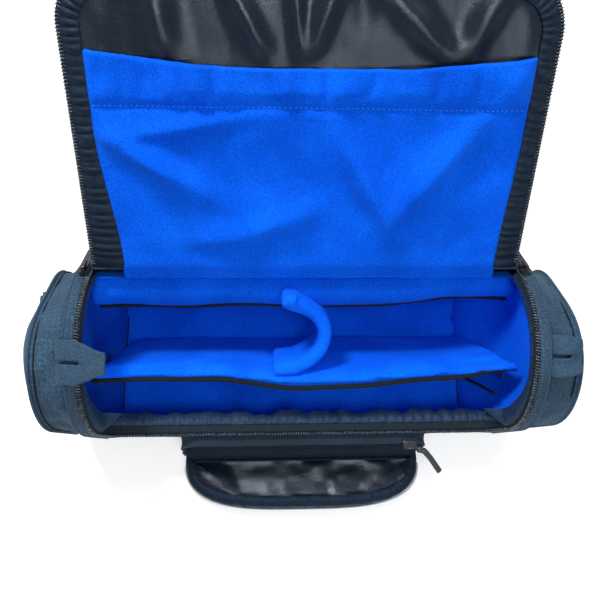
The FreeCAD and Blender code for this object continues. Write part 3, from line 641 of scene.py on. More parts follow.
def satin_material(name="satin", shine=0.52, tone=0.70, rough=0.16):
    """Thin shiny lining: dark, with a fine woven grain that scatters a broad grey-brown highlight."""
    n = Nodes(name)
    c = tint(tuple(colours().satin), tone)
    place = n.coords("Object")
    grain = n.noise(place, 900.0, 2.0, 0.7)
    slub = n.noise(n.scaled(place, (1.0, 6.0, 6.0)), 60.0, 2.0, 0.5)
    colour = n.ramp(n.blend((grain, 0.7), (slub, 0.3)),
                    [(0.35, tint(c, 0.5)), (0.58, c), (0.75, tint(c, 2.2))])
    normal = n.bumped(grain, 0.38, 0.0007)
    return n.finish(colour, n.maths("ADD", n.maths("MULTIPLY", grain, 0.14), rough), normal,
                    Specular_IOR_Level=shine, Specular_Tint=(0.78, 0.87, 1.0, 1.0), Sheen_Weight=0.03,
                    Sheen_Roughness=0.3, Sheen_Tint=(0.7, 0.8, 1.0, 1.0))


def tape_material():
    """Zipper tape and gathered edging: dull woven polyester with ribs along its length."""
    n = Nodes("tape")
    c = tuple(colours().trim)
    uv = n.coords("UV")
    ribs = n.waves(uv, "Y", 420.0, Distortion=0.4)
    grain = n.noise(n.coords("Object"), 700.0, 2.0, 0.6)
    tone = n.blend((ribs, 0.45), (grain, 0.55))
    colour = n.ramp(tone, [(0.25, tint(c, 0.45)), (0.5, c), (0.8, tint(c, 2.6))])
    return n.finish(colour, 0.66, n.bumped(tone, 0.4, 0.0004), Sheen_Weight=0.05, Sheen_Roughness=0.4,
                    Sheen_Tint=(0.6, 0.8, 1.0, 1.0), Specular_IOR_Level=0.14)


def coil_material():
    """Extruded nylon: near black with a soft shine; noise lays lighter grey-blue patches over it, painted
    highlights standing for the teeth's glints, and varies its roughness.
    """
    n = Nodes("coil")
    painted_glint_noise = n.noise(n.coords("Object"), 240.0, 2.0, 0.5)
    colour = n.ramp(painted_glint_noise, [(0.38, (0.016, 0.024, 0.034)), (0.62, (0.11, 0.14, 0.17))])
    return n.finish(colour, n.maths("ADD", n.maths("MULTIPLY", painted_glint_noise, 0.2), 0.20), n.bumped(painted_glint_noise, 0.2, 0.0002),
                    Specular_IOR_Level=0.8)


def thread_material(name, colour):
    n = Nodes(name)
    twist = n.noise(n.coords("Object"), 1500.0, 1.0, 0.5)
    shade = n.ramp(twist, [(0.3, tint(colour, 0.6)), (0.7, tint(colour, 1.4))])
    return n.finish(shade, 0.7, n.bumped(twist, 0.3, 0.0002), Sheen_Weight=0.2)


def webbing_material():
    """Folded woven strip: the outer fabric's threads, ribbed more closely and a little worn."""
    n = Nodes("webbing")
    c = tint(tuple(colours().shell), 0.95)
    uv = n.coords("UV")
    ribs = n.waves(uv, "X", 360.0, Distortion=0.3)
    cross = n.waves(uv, "Y", 300.0, Distortion=0.3)
    fuzz = n.noise(n.coords("Object"), 520.0, 3.0, 0.6)
    tone = n.blend((n.maths("MAXIMUM", ribs, cross), 0.4), (fuzz, 0.6))
    colour = n.ramp(tone, [(0.3, tint(c, 0.4)), (0.55, c), (0.85, tint(c, 2.2))])
    return n.finish(colour, 0.74, n.bumped(tone, 0.5, 0.0005), Sheen_Weight=0.10, Sheen_Roughness=0.4,
                    Sheen_Tint=(0.5, 0.75, 1.0, 1.0), Specular_IOR_Level=0.2)


def binding_material():
    """Narrow folded tape over the seams and the end pockets' piping: black, finely ribbed. It also colours the
    dark tubes under the rear roll and the long divider, which are painted shadow.
    """
    n = Nodes("binding")
    c = tuple(colours().trim)
    place = n.coords("Object")
    ribs = n.noise(n.scaled(place, (1.0, 0.35, 1.0)), 900.0, 2.0, 0.6)
    colour = n.ramp(ribs, [(0.3, tint(c, 0.3)), (0.55, tint(c, 0.6)), (0.8, tint(c, 1.3))])
    return n.finish(colour, 0.7, n.bumped(ribs, 0.4, 0.0003), Sheen_Weight=0.04,
                    Sheen_Tint=(0.5, 0.75, 1.0, 1.0), Specular_IOR_Level=0.15)


def metal_material():
    """Black-lacquered die-cast zinc, rubbed bright in patches."""
    n = Nodes("slider_metal")
    worn = n.noise(n.coords("Object"), 180.0, 3.0, 0.6)
    colour = n.ramp(worn, [(0.45, (0.012, 0.014, 0.018)), (0.60, (0.035, 0.045, 0.058)),
                           (0.72, (0.36, 0.42, 0.48))])
    return n.finish(colour, n.maths("ADD", n.maths("MULTIPLY", worn, 0.3), 0.18), n.bumped(worn, 0.1, 0.0003),
                    Metallic=0.45)


def rubber_material():
    """Moulded zipper pull: dull, with a slight texture."""
    n = Nodes("pull_rubber")
    pores = n.noise(n.coords("Object"), 800.0, 2.0, 0.6)
    colour = n.ramp(pores, [(0.3, (0.018, 0.024, 0.030)), (0.7, (0.040, 0.050, 0.060))])
    return n.finish(colour, 0.58, n.bumped(pores, 0.25, 0.0002), Specular_IOR_Level=0.4)


def hook_material():
    """Hook tape: a dense field of tiny stiff hooks."""
    n = Nodes("hook_tape")
    hooks = n.add("ShaderNodeTexVoronoi", Vector=n.coords("Object"), Scale=700.0)
    colour = n.ramp(hooks, [(0.1, (0.0, 0.05, 0.36)), (0.6, (0.0, 0.02, 0.16))])
    return n.finish(colour, 0.6, n.bumped(hooks, 0.8, 0.0006))


MAKERS = {
    # A lighter copy of the fleece is painted light, on the dividers and the right end pad; a darker copy is
    # painted shade, on the left end pad.
    "fresh_fleece": lambda: fleece_material("fresh_fleece", 1.34),
    "worn_fleece": lambda: fleece_material("worn_fleece", 0.82),
    # A darker copy of the outer fabric is painted shade, on the front pocket's gusset and the flap's hinge
    # strip.
    "painted_shade_shell": lambda: shell_material("dark_fabric", 0.36),
    "gathered": lambda: satin_material("gathered_satin", 0.16, 1.35, 0.46),
    "ruffled": lambda: satin_material("ruffled_satin", 0.2, 3.4, 0.42),
    "fleece": fleece_material, "shell": shell_material, "satin": satin_material, "tape": tape_material,
    "coil": coil_material, "webbing": webbing_material, "metal": metal_material,
    "binding": binding_material, "rubber": rubber_material, "hook": hook_material,
    "blue_thread": lambda: thread_material("blue_thread", (0.01, 0.20, 0.95)),
    "dark_thread": lambda: thread_material("dark_thread", (0.020, 0.028, 0.038)),
}
MADE = {}


def material(key):
    if key not in MADE:
        MADE[key] = MAKERS[key]()
    return MADE[key]


# ---------------------------------------------------------------------------------------------
# Placing pieces
# ---------------------------------------------------------------------------------------------
SLOTS = {name: name for name in ("fleece", "outer_fabric", "satin", "tape", "coil", "webbing", "slider_metal",
                                 "pull_rubber", "hook_tape", "binding")}
SLOTS.update(fresh_fleece="fleece", worn_fleece="fleece", dark_fabric="outer_fabric", gathered_satin="satin",
             ruffled_satin="satin")


def settle(obj, body, *nodes):
    """Puts a finished piece on its body, standing for the CAD nodes named."""
    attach(obj, body)
    if nodes:
        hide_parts(*nodes)
    return obj


LID_SPANS = [("bag", "lid_1"), ("lid_1", "lid_2"), ("lid_2", "lid_3"), ("lid_3", "lid_4"), ("lid_4", None)]


def over_lid(name, build, s_low, s_high, nodes=()):
    """Makes a sheet of the lid in spans that each reach over one fold. build(name, s0, s1) makes one span."""
    out = []
    for k, (before, after) in enumerate(LID_SPANS):
        first = -1.0 if k == 0 else (k - 0.5) * SECTION
        last = (k + 0.5) * SECTION if after else 1.0
        s0, s1 = max(first, s_low), min(last, s_high)
        if s1 - s0 < 1e-5:
            continue
        obj = build("%s_%d" % (name, k + 1), s0, s1)
        if after:
            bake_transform(obj)
        else:
            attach(obj, before)
        out.append(obj)
    for k, node in enumerate(nodes):
        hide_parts(node)
    return out


# ---------------------------------------------------------------------------------------------
# Lines that several pieces share
# ---------------------------------------------------------------------------------------------
SEAM_GAP = 0.0016          # between the main coil's line and the edge of the outer fabric
SIDE_EDGE = ZIP_X + SEAM_GAP
CORNER_X = ZIP_X - FRONT_CORNER
CORNER_Z = FRONT_EDGE_Z + FRONT_CORNER


def shell_edge(x):
    """Distance round the tube of the front opening's edge: straight, then rounding up into the sides."""
    r = FRONT_CORNER + SEAM_GAP
    t = min(max(abs(x) - CORNER_X, 0.0) / r, 1.0)
    return TUBE.front_height(CORNER_Z - r * math.sqrt(1 - t * t))


def mouth_columns(step=0.004):
    """Places along X that follow the opening's front corners closely."""
    r = FRONT_CORNER + SEAM_GAP
    right = [CORNER_X + r * math.sin(a) for a in span(0, math.pi / 2, 12)][1:]
    right += span(SIDE_EDGE, BODY_HALF, 3)[1:]
    middle = span(-CORNER_X, CORNER_X, round(2 * CORNER_X / step))
    return [-x for x in reversed(right)] + middle + right


def mouth_path(inset=0.0, step=0.003, radius=None):
    """The main coil's line on the body, from the left rear to the front and back; inset moves it inwards."""
    r = COIL_RADIUS if radius is None else radius
    x_at, bend = ZIP_X - inset, FRONT_CORNER - inset
    side = [on_arch(r, a, -x_at) for a in span(HINGE_DEGREES + 1.5, 180, 60)]
    down = [Vector((-x_at, -r, z)) for z in (CENTRE_Z - 0.0028, CORNER_Z)]
    turn = [Vector((-CORNER_X - bend * math.cos(a), -r, CORNER_Z - bend * math.sin(a)))
            for a in span(0, math.pi / 2, 14)][1:]
    left = side + down + turn
    right = [Vector((-p.x, p.y, p.z)) for p in reversed(left)]
    return resample(left + right, step)


def out_of_tube(p):
    """Outward normal of the tube at a point of its upper part."""
    if p.z < CENTRE_Z:
        return Vector((0, -1, 0)) if p.y < 0 else Vector((0, 1, 0))
    return Vector((0, p.y, p.z - CENTRE_Z)).normalized()


def gathers(run, seed, pitch):
    """Height of gathered cloth along its seam, 0 to 1, uneven from fold to fold."""
    place = run / pitch + 0.9 * noise.noise(Vector((run / (pitch * 2.6), seed, 0.0)))
    fold = abs(math.sin(math.pi * place)) ** 0.8
    return fold * (0.62 + 0.38 * noise.noise(Vector((place * 0.9, seed + 3.1, 0.5))))


FINE = 1e-5                # points nearer than this are one
FAN = 2e-5                 # a looser limit, where columns meet in a middle or a strap's legs meet their bridge


def weld(obj, distance=FINE):
    """Merges the points where grids of one sheet meet."""
    bm = bmesh.new()
    bm.from_mesh(obj.data)
    bmesh.ops.remove_doubles(bm, verts=bm.verts, dist=distance)
    bmesh.ops.recalc_face_normals(bm, faces=bm.faces)
    bm.to_mesh(obj.data)
    bm.free()
    return obj


def cloth(obj, thickness, offset=0.0):
    solid = obj.modifiers.new("Thickness", "SOLIDIFY")
    solid.thickness = thickness
    solid.offset = offset
    return obj


def declare(obj, width, length):
    return obj


# ---------------------------------------------------------------------------------------------
# Body
# ---------------------------------------------------------------------------------------------
class BAG_OT_shell(bpy.types.Operator):
    """Outer fabric of the tube: rear, base and front as one sheet, with a strip up each side of the mouth"""
    bl_idname = "bag.shell"
    bl_label = "Outer shell"

    def execute(self, context):
        fabric = material("shell")
        first = TUBE.rear_angle(HINGE_DEGREES)
        strip_start = TUBE.front_height(CORNER_Z)
        strip_end = TUBE.total + first

        def swell(x, d):
            (y, z), _ = TUBE.at(d)
            fade = smooth((BODY_HALF - abs(x)) / 0.03) * smooth(z / 0.02)
            if y < 0:
                fade *= smooth((shell_edge(x) - d) / 0.025) * (0.15 if abs(x) < 0.142 else 1.0)
            else:
                fade *= smooth((d - first) / 0.03)
            return fade * (0.0016 * wobble(x, d, 1, 0.085) + 0.0007 * wobble(x, d, 2, 0.03) - 0.0004)

        columns = mouth_columns()
        rows = 150

        def run_at(x, t):
            return first + (shell_edge(x) - first) * t

        def at(x, t):
            d = run_at(x, t)
            return TUBE.point(x, d, swell(x, d))

        def texture(v):
            x = columns[v.index // (rows + 1)]
            return x, run_at(x, (v.index % (rows + 1)) / rows)

        main = grid("outer_shell", fabric, at, columns, span(0, 1, rows))
        lay_texture(main, texture)
        parts = [main]
        for _, sign in SIDES:
            wide = [sign * x for x in span(SIDE_EDGE, BODY_HALF, 3)]
            parts.append(grid("side_strip", fabric, TUBE.point, wide, span(strip_start, strip_end, 90)))
        shell = weld(join("outer_shell", parts))
        cloth(shell, sizes().fabric_thickness, -1.0)
        settle(shell, "bag", "front_shell", "rear_shell", "base_shell", "front_foam", "rear_foam", "base_foam",
               "base_board")
        declare(shell, 2 * BODY_HALF, shell_edge(0) - first)
        edge = stitches("mouth_stitches", material("dark_thread"), mouth_path(-0.0052, 0.004, RADIUS + 0.0002),
                        out_of_tube)
        settle(edge, "bag")
        for side, sign in SIDES:
            x = BODY_HALF * sign

            def ring(d, inset, x=x):
                p = TUBE.point(x, d, -inset)
                p.x -= math.copysign(0.0006 * smooth(inset / 0.004), x)
                return p

            wall = grid("%s_end_wall" % side, fabric, ring, span(0, TUBE.total, 150)[:-1],
                        [0.0, 0.002, 0.004, 0.008, 0.013], closed=True)
            settle(wall, "bag", "%s_end_shell" % side, "%s_end_foam" % side)
            welt = tube("%s_end_welt" % side, material("webbing"),
                        [TUBE.point(x, d, -0.0004) for d in span(0, TUBE.total, 150)[:-1]], 0.0013, closed=True)
            settle(welt, "bag")
        return {"FINISHED"}


def slump(d):
    """0 to 1 round an end pocket: how far its empty upper rear has sunk."""
    (y, z), _ = POCKET.at(d)
    return bump(math.degrees(math.atan2(z - CENTRE_Z, y)) - 50, 40)


def pocket_seam(d, out=0.0):
    """Where an end pocket's wall meets its face, on the right-hand side."""
    sunk = slump(d)
    return POCKET.point(BODY_HALF + (POCKET_END - BODY_HALF) * (1 - 0.10 * sunk), d, out - 0.014 * sunk)


class BAG_OT_end_pockets(bpy.types.Operator):
    """Soft pocket at each end: a gusset with dents, a face with a zipper, and its piping"""
    bl_idname = "bag.end_pockets"
    bl_label = "End pockets"
    turns = 200

    def execute(self, context):
        self.rounds = span(0, POCKET.total, self.turns)[:-1]
        for side, sign, seed, fullness in (("left", -1, 3.0, 0.0085), ("right", 1, 8.0, 0.0050)):
            self.gusset(side, sign, seed)
            self.face(side, sign, seed, fullness)
            self.pipings(side, sign)
            self.zipper(side, sign)
        return {"FINISHED"}

    def gusset(self, side, sign, seed):
        depth, steps = POCKET_END - BODY_HALF, 16

        def at(d, t):
            (_, z), _ = POCKET.at(d)
            free = smooth((z - 0.012) / 0.03)
            sink = 0.0020 + 0.0062 * wobble(d, t * 0.03, seed, 0.040)
            sink += 0.0030 * wobble(d, t * 0.045, seed + 1, 0.015)
            pull = 0.0016 * abs(noise.noise(Vector((d / 0.013, seed, 0.0)))) * bump(t - 0.12, 0.14)
            root = 0.0022 * (1 - smooth(t / 0.12))
            p = POCKET.point(0, d, -belly(t) * free * max(sink, -0.0022) - (root + pull) * free)
            seam, edge = pocket_seam(d), POCKET.point(0, d)
            p += (Vector((0, seam.y, seam.z)) - edge) * smooth(t)
            p.x = sign * (BODY_HALF + (seam.x - 0.0003 - BODY_HALF) * t)
            return p

        def texture(v):
            return POCKET.total * (v.index // (steps + 1)) / self.turns, depth * (v.index % (steps + 1)) / steps

        wall = grid("%s_pocket_gusset" % side, material("shell"), at, self.rounds, span(0, 1, steps),
                    closed=True)
        lay_texture(wall, texture)
        settle(cloth(wall, sizes().fabric_thickness, -1.0), "bag", "%s_pocket_wall" % side)
        declare(wall, POCKET.total, depth)

    def face(self, side, sign, seed, fullness):
        centre_z, zip_z = 0.100, 0.132
        face_x = POCKET_END + 0.0006

        def at(d, t):
            rim = pocket_seam(d)
            p = Vector((0, rim.y * t, centre_z + (rim.z - centre_z) * t))
            from_zip = smooth((abs(p.z - zip_z) - 0.009) / 0.022) if abs(p.y) < 0.075 else 1.0
            swell = 0.0050 + fullness * smooth((p.z - zip_z - 0.010) / 0.02)
            crown = 0.0020 * (1 - t ** 4) + swell * from_zip * math.sin(math.pi * min(t * 1.02, 1.0)) ** 0.6
            dent = 0.0026 * wobble(p.y, p.z, seed, 0.05) + 0.0012 * wobble(p.y, p.z, seed + 2, 0.02)
            dent *= from_zip
            flat = face_x + (rim.x - face_x) * smooth((t - 0.5) / 0.5)
            return Vector((sign * (flat + crown - max(dent, -0.001) * (1 - t ** 6)), p.y, p.z))

        front = weld(grid("%s_pocket_face" % side, material("shell"), at, self.rounds,
                          [0.0] + span(0.06, 1, 30), closed=True), FAN)
        lay_texture(front, lambda v: (v.co.y, v.co.z))
        settle(front, "bag", "%s_pocket_face" % side)
        declare(front, 2 * POCKET_RADIUS, CENTRE_Z + POCKET_RADIUS)

    def pipings(self, side, sign):
        for name, key, out, radius, shift, nodes in (
                ("piping", "webbing", 0.0006, 0.0015, 0.0, ["%s_pocket_piping" % side]),
                ("inner_piping", "binding", 0.0000, 0.0008, -0.0050, [])):
            seam = [pocket_seam(d, out) for d in self.rounds]
            line = [Vector((sign * (p.x + shift), p.y, max(p.z, 0.0068))) for p in seam]
            cord = tube("%s_pocket_%s" % (side, name), material(key), line, radius, closed=True)
            settle(cord, "bag", *nodes)

    def zipper(self, side, sign):
        box_low, box_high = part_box("%s_face_zip" % side)
        tape_x = (box_high.x if sign > 0 else -box_low.x) - 0.0031
        zip_z, half, thick = (box_low.z + box_high.z) / 2, box_high.y, 0.0008

        def out_of_face(p):
            return Vector((sign, 0, 0))

        def place(u, v, w):
            return Vector((sign * (tape_x - thick + w), u, zip_z + v))

        tape = slab("%s_face_tape" % side, material("tape"), patch(half, 0.008), place, thick)
        settle(tape, "bag", "%s_face_zip" % side)
        line = [Vector((sign * (tape_x + 0.0012), y, zip_z)) for y in span(-half + 0.003, half - 0.003, 60)]
        teeth = coil("%s_face_coil" % side, material("coil"), line, out_of_face, sizes().coil_pitch, 0.0021,
                     0.0011)
        settle(teeth, "bag")
        for name, off in (("low", -0.0055), ("high", 0.0055)):
            line = [Vector((sign * (tape_x + 0.0001), y, zip_z + off)) for y in (-half + 0.002, half - 0.002)]
            row = stitches("%s_face_stitches_%s" % (side, name), material("dark_thread"), line, out_of_face)
            settle(row, "bag")


class BAG_OT_inner_fleece(bpy.types.Operator):
    """Fleece lining of the tube and its two ends, with the bound seams between them"""
    bl_idname = "bag.inner_fleece"
    bl_label = "Inner fleece"

    def execute(self, context):
        first = INSIDE.rear_angle(HINGE_DEGREES)
        last = INSIDE.front_height(low("body_zip_tape").z - 0.004)
        half = END_X

        def lining(x, d):
            fade = smooth((half - abs(x)) / 0.02) * smooth((d - first) / 0.02) * smooth((last - d) / 0.02)
            lift = 0.0022 * (wobble(x, d, 5, 0.075) + 0.3) + 0.0008 * wobble(x, d, 6, 0.02)
            return INSIDE.point(x, d, -fade * max(lift, 0.0))

        main = grid("inner_fleece", material("fleece"), lining, span(-half, half, 100), span(first, last, 120))
        settle(main, "bag", "front_lining", "rear_lining", "base_lining")
        declare(main, 2 * half, last - first)

        # The left end pad takes the darker fleece (painted shade), the right one the lighter fleece (painted
        # light).
        for side, sign, lean, key in (("left", -1, 0.000, "worn_fleece"), ("right", 1, 0.020, "fresh_fleece")):
            self.end_pad(side, sign, lean, key)
            self.seams(side, sign, lean)
        return {"FINISHED"}

    def end_pad(self, side, sign, lean, key):
        """One end's padded wall; lean is how far its foot stands in."""
        def at(y, t):
            edge = INSIDE.radius - 0.0002
            top = CENTRE_Z + math.sqrt(max(edge ** 2 - y * y, 0.0))
            if y < -edge * 0.985:
                top = max(top, CENTRE_Z + 0.012)
            drop, low_z = INSIDE.radius - INSIDE.corner, FLOOR_Z
            if abs(y) > drop:
                low_z = FLOOR_Z + INSIDE.corner - math.sqrt(max(INSIDE.corner ** 2 - (abs(y) - drop) ** 2, 0.0))
            z = low_z + (top - low_z) * t
            give = smooth((1 - abs(y) / INSIDE.radius) / 0.5) * smooth((top - z) / 0.035)
            give *= smooth((z - FLOOR_Z) / 0.09)
            soft = 0.0020 * give * wobble(y, z, 9 + sign, 0.045)
            foot = lean * (1 - smooth((z - FLOOR_Z) / 0.10))
            return Vector((sign * (END_X - foot + 0.013 * give + soft), y, z))

        edge = INSIDE.radius - 0.0003
        end = grid("%s_end_pad" % side, material(key), at, span(-edge, edge, 44), span(0, 1, 40))
        settle(end, "bag", "%s_end_lining" % side)

    def seams(self, side, sign, lean):
        """The bound seams round one end pad; the right one also has a loose strap at its foot."""
        finish, radius = material("binding"), sizes().binding_radius
        binding = []
        for y_side, top in ((-1, CENTRE_Z - 0.01), (1, CENTRE_Z + 0.044)):
            line = []
            for z in span(FLOOR_Z + 0.012, top, 30):
                foot = lean * (1 - smooth((z - FLOOR_Z) / 0.11))
                reach = INSIDE.radius - 0.0012
                rise = FLOOR_Z + INSIDE.corner - z
                if rise > 0:
                    reach -= INSIDE.corner - math.sqrt(max(INSIDE.corner ** 2 - rise ** 2, 0))
                elif z > CENTRE_Z:
                    reach = math.sqrt(reach ** 2 - (z - CENTRE_Z) ** 2)
                line.append(Vector((sign * (END_X - foot - 0.0018), y_side * reach, z)))
            binding.append(tube("binding", finish, line, radius))
        line = [Vector((sign * (END_X - lean - 0.0015), y, FLOOR_Z + 0.0008)) for y in span(-0.054, 0.054, 30)]
        binding.append(tube("binding", finish, line, radius * 0.5))
        if side == "right":
            strap = [Vector(p) for p in ((0.186, -0.018, 0.0145), (0.190, -0.026, 0.035),
                                         (0.1935, -0.037, 0.068), (0.199, -0.050, 0.100))]
            binding.append(tube("binding", finish, resample(strap, 0.003), 0.0016))
        settle(join("%s_end_binding" % side, binding), "bag")


class BAG_OT_facing(bpy.types.Operator):
    """Gathered satin facing that hangs inside the mouth, under the zipper's tape"""
    bl_idname = "bag.facing"
    bl_label = "Mouth facing"

    def execute(self, context):
        path = mouth_path(0.0, 0.0022)
        runs = distances(path)
        frontness = [smooth((CORNER_Z + 0.004 - p.z) / 0.030) if p.y < 0 else 0.0 for p in path]
        depth, pitch = sizes().gather_depth * 2.4, sizes().gather_pitch * 1.15
        backward, upward = Vector((0, 1, 0)), Vector((0, 0, 1))

        def at(i, t):
            p, f, run = path[i], frontness[i], runs[i]
            out, middle = out_of_tube(p), Vector((-math.copysign(1.0, p.x), 0, 0))
            near = float(p.y < 0)
            if p.z > CENTRE_Z:
                near = smooth((math.degrees(math.atan2(p.z - CENTRE_Z, p.y)) - 118) / 45)
            side_in = middle * (1 - f) * (0.0030 + 0.0018 * near * belly(min(t * 1.2, 1.0)))
            side_in -= out * (0.0040 + (0.0075 + 0.0100 * near) * t)
            uneven = 1 + 0.34 * wobble(run, 0, 12, 0.011) + 0.30 * wobble(run, 0, 13, 0.034)
            front_in = backward * (0.0105 + 0.0125 * t * uneven) - upward * (0.0010 + 0.0040 * t ** 1.6)
            corner_pull = middle * (0.016 * f * (1 - f) * 4 * t)
            place = p + side_in * (1 - f) + front_in * f + corner_pull
            lift = (out * (1 - f) * 0.25 + middle * (1 - f) + upward * f).normalized()
            wave = gathers(run, 4.0, pitch) * (0.7 + f) * depth
            return place + lift * wave * belly(min(0.12 + t * 0.95, 1.0)) ** 0.7 * (1 - 0.3 * smooth(t))

        sheet = grid("mouth_facing", material("ruffled"), at, range(len(path)), span(0, 1, 9))
        settle(sheet, "bag", "zip_facing")
        declare(sheet, 0.013, runs[-1])
        return {"FINISHED"}


class BAG_OT_main_zipper(bpy.types.Operator):
    """Tape, coil and sewing of the body's half of the main zipper"""
    bl_idname = "bag.main_zipper"
    bl_label = "Main zipper on the body"

    def execute(self, context):
        path = mouth_path()
        tape_low = low("body_zip_tape").z

        def tape(i, t):
            p = path[i]
            f = smooth((CORNER_Z - p.z) / 0.028) if p.y < 0 else 0.0
            out = out_of_tube(p)
            side = p - out * (0.0016 + 0.0025 * t) - Vector((math.copysign(0.0035, p.x), 0, 0)) * t
            front = Vector((p.x, p.y + 0.001 + 0.0135 * t, tape_low + 0.0009 + (p.z - FRONT_EDGE_Z)))
            return side.lerp(front, f)

        sheet = grid("body_tape", material("tape"), tape, range(len(path)), span(0, 1, 5))
        lay_texture(sheet, lambda v: ((v.index // 6) * 0.003, (v.index % 6) * 0.0027))
        settle(cloth(sheet, 0.0007, -1.0), "bag", "body_zip_tape")
        teeth = coil("body_coil", material("coil"), path, out_of_tube, sizes().coil_pitch, 0.0023, 0.0013)
        settle(teeth, "bag", "body_zip_coil")
        core = tube("body_coil_cord", material("tape"), path, 0.0011, sides=6)
        settle(core, "bag")
        return {"FINISHED"}


class BAG_OT_bolster(bpy.types.Operator):
    """Padded roll along the rear wall, under the lid's hinge"""
    bl_idname = "bag.bolster"
    bl_label = "Rear roll"

    def execute(self, context):
        box_low, box_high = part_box("rear_bolster")
        front = box_low.y

        def slack(x):
            """How far the roll has sunk back at a place along it."""
            return 0.0035 * wobble(x, 0, 21, 0.09) + 0.004 * smooth(-x / 0.2) - 0.003 * smooth((x - 0.06) / 0.1)

        def ring(x):
            face, under = front + 0.0035 - slack(x), 0.124 - slack(x) * 1.2
            section = [(0.0755, 0.1165), (0.070, 0.1180), (0.058, 0.1200), (0.048, under - 0.0015),
                       (face + 0.002, under + 0.003), (face, under + 0.010), (face, 0.139),
                       (face + 0.004, 0.1475), (0.050, 0.1515), (0.058, 0.155), (0.0640, 0.1555),
                       (0.0700, 0.1440), (0.0745, 0.131)]
            return [Vector((x * 1.042, y, z)) for y, z in section]

        places = span(box_low.x + 0.003, box_high.x - 0.003, 60)
        roll = plump(loft("rear_roll", material("fleece"), [ring(x) for x in places]), 0.005, 4.0, 0.005)
        settle(rumple(roll, 0.0009, 0.03, 2.0), "bag", "rear_bolster")
        # A dark tube under the roll's front edge stands for the shadow beneath it: painted shadow, in the
        # binding's finish.
        line = [Vector((x, front + 0.0042 - slack(x), 0.1266 - slack(x) * 1.2))
                for x in span(-0.208, 0.208, 90)]
        settle(tube("roll_painted_shadow", material("binding"), line, 0.0019), "bag")
        return {"FINISHED"}


DIVIDER_FOOT = Vector((0, 0.024, FLOOR_Z - 0.0015))
DIVIDER_SLOPE = Vector((0, -0.042, 0.122)) - DIVIDER_FOOT
DIVIDER_LENGTH = DIVIDER_SLOPE.length
DIVIDER_UP = DIVIDER_SLOPE.normalized()
DIVIDER_REAR = Vector((0, DIVIDER_UP.z, -DIVIDER_UP.y))
DIVIDER_THICK = 0.0098
DIVIDER_END = 0.206


def on_divider(up, rear):
    """A point by its height up the long divider's slope and its distance off it, towards the rear."""
    return DIVIDER_FOOT + DIVIDER_UP * up + DIVIDER_REAR * rear


def divider_rise(x):
    return DIVIDER_LENGTH - 0.003 + 0.0015 * wobble(x, 0, 31, 0.08)


def lean_back(x):
    """How far the long divider's head is pushed to the rear of its straight line."""
    stops = [(-DIVIDER_END, 0.008), (-0.15, 0.011), (-0.09, 0.010), (0.0, -0.001), (0.04, -0.001),
             (0.13, 0.009), (DIVIDER_END, 0.019)]
    for (xa, a), (xb, b) in zip(stops, stops[1:]):
        if x <= xb:
            return a + (b - a) * smooth((x - xa) / (xb - xa))
    return stops[-1][1]


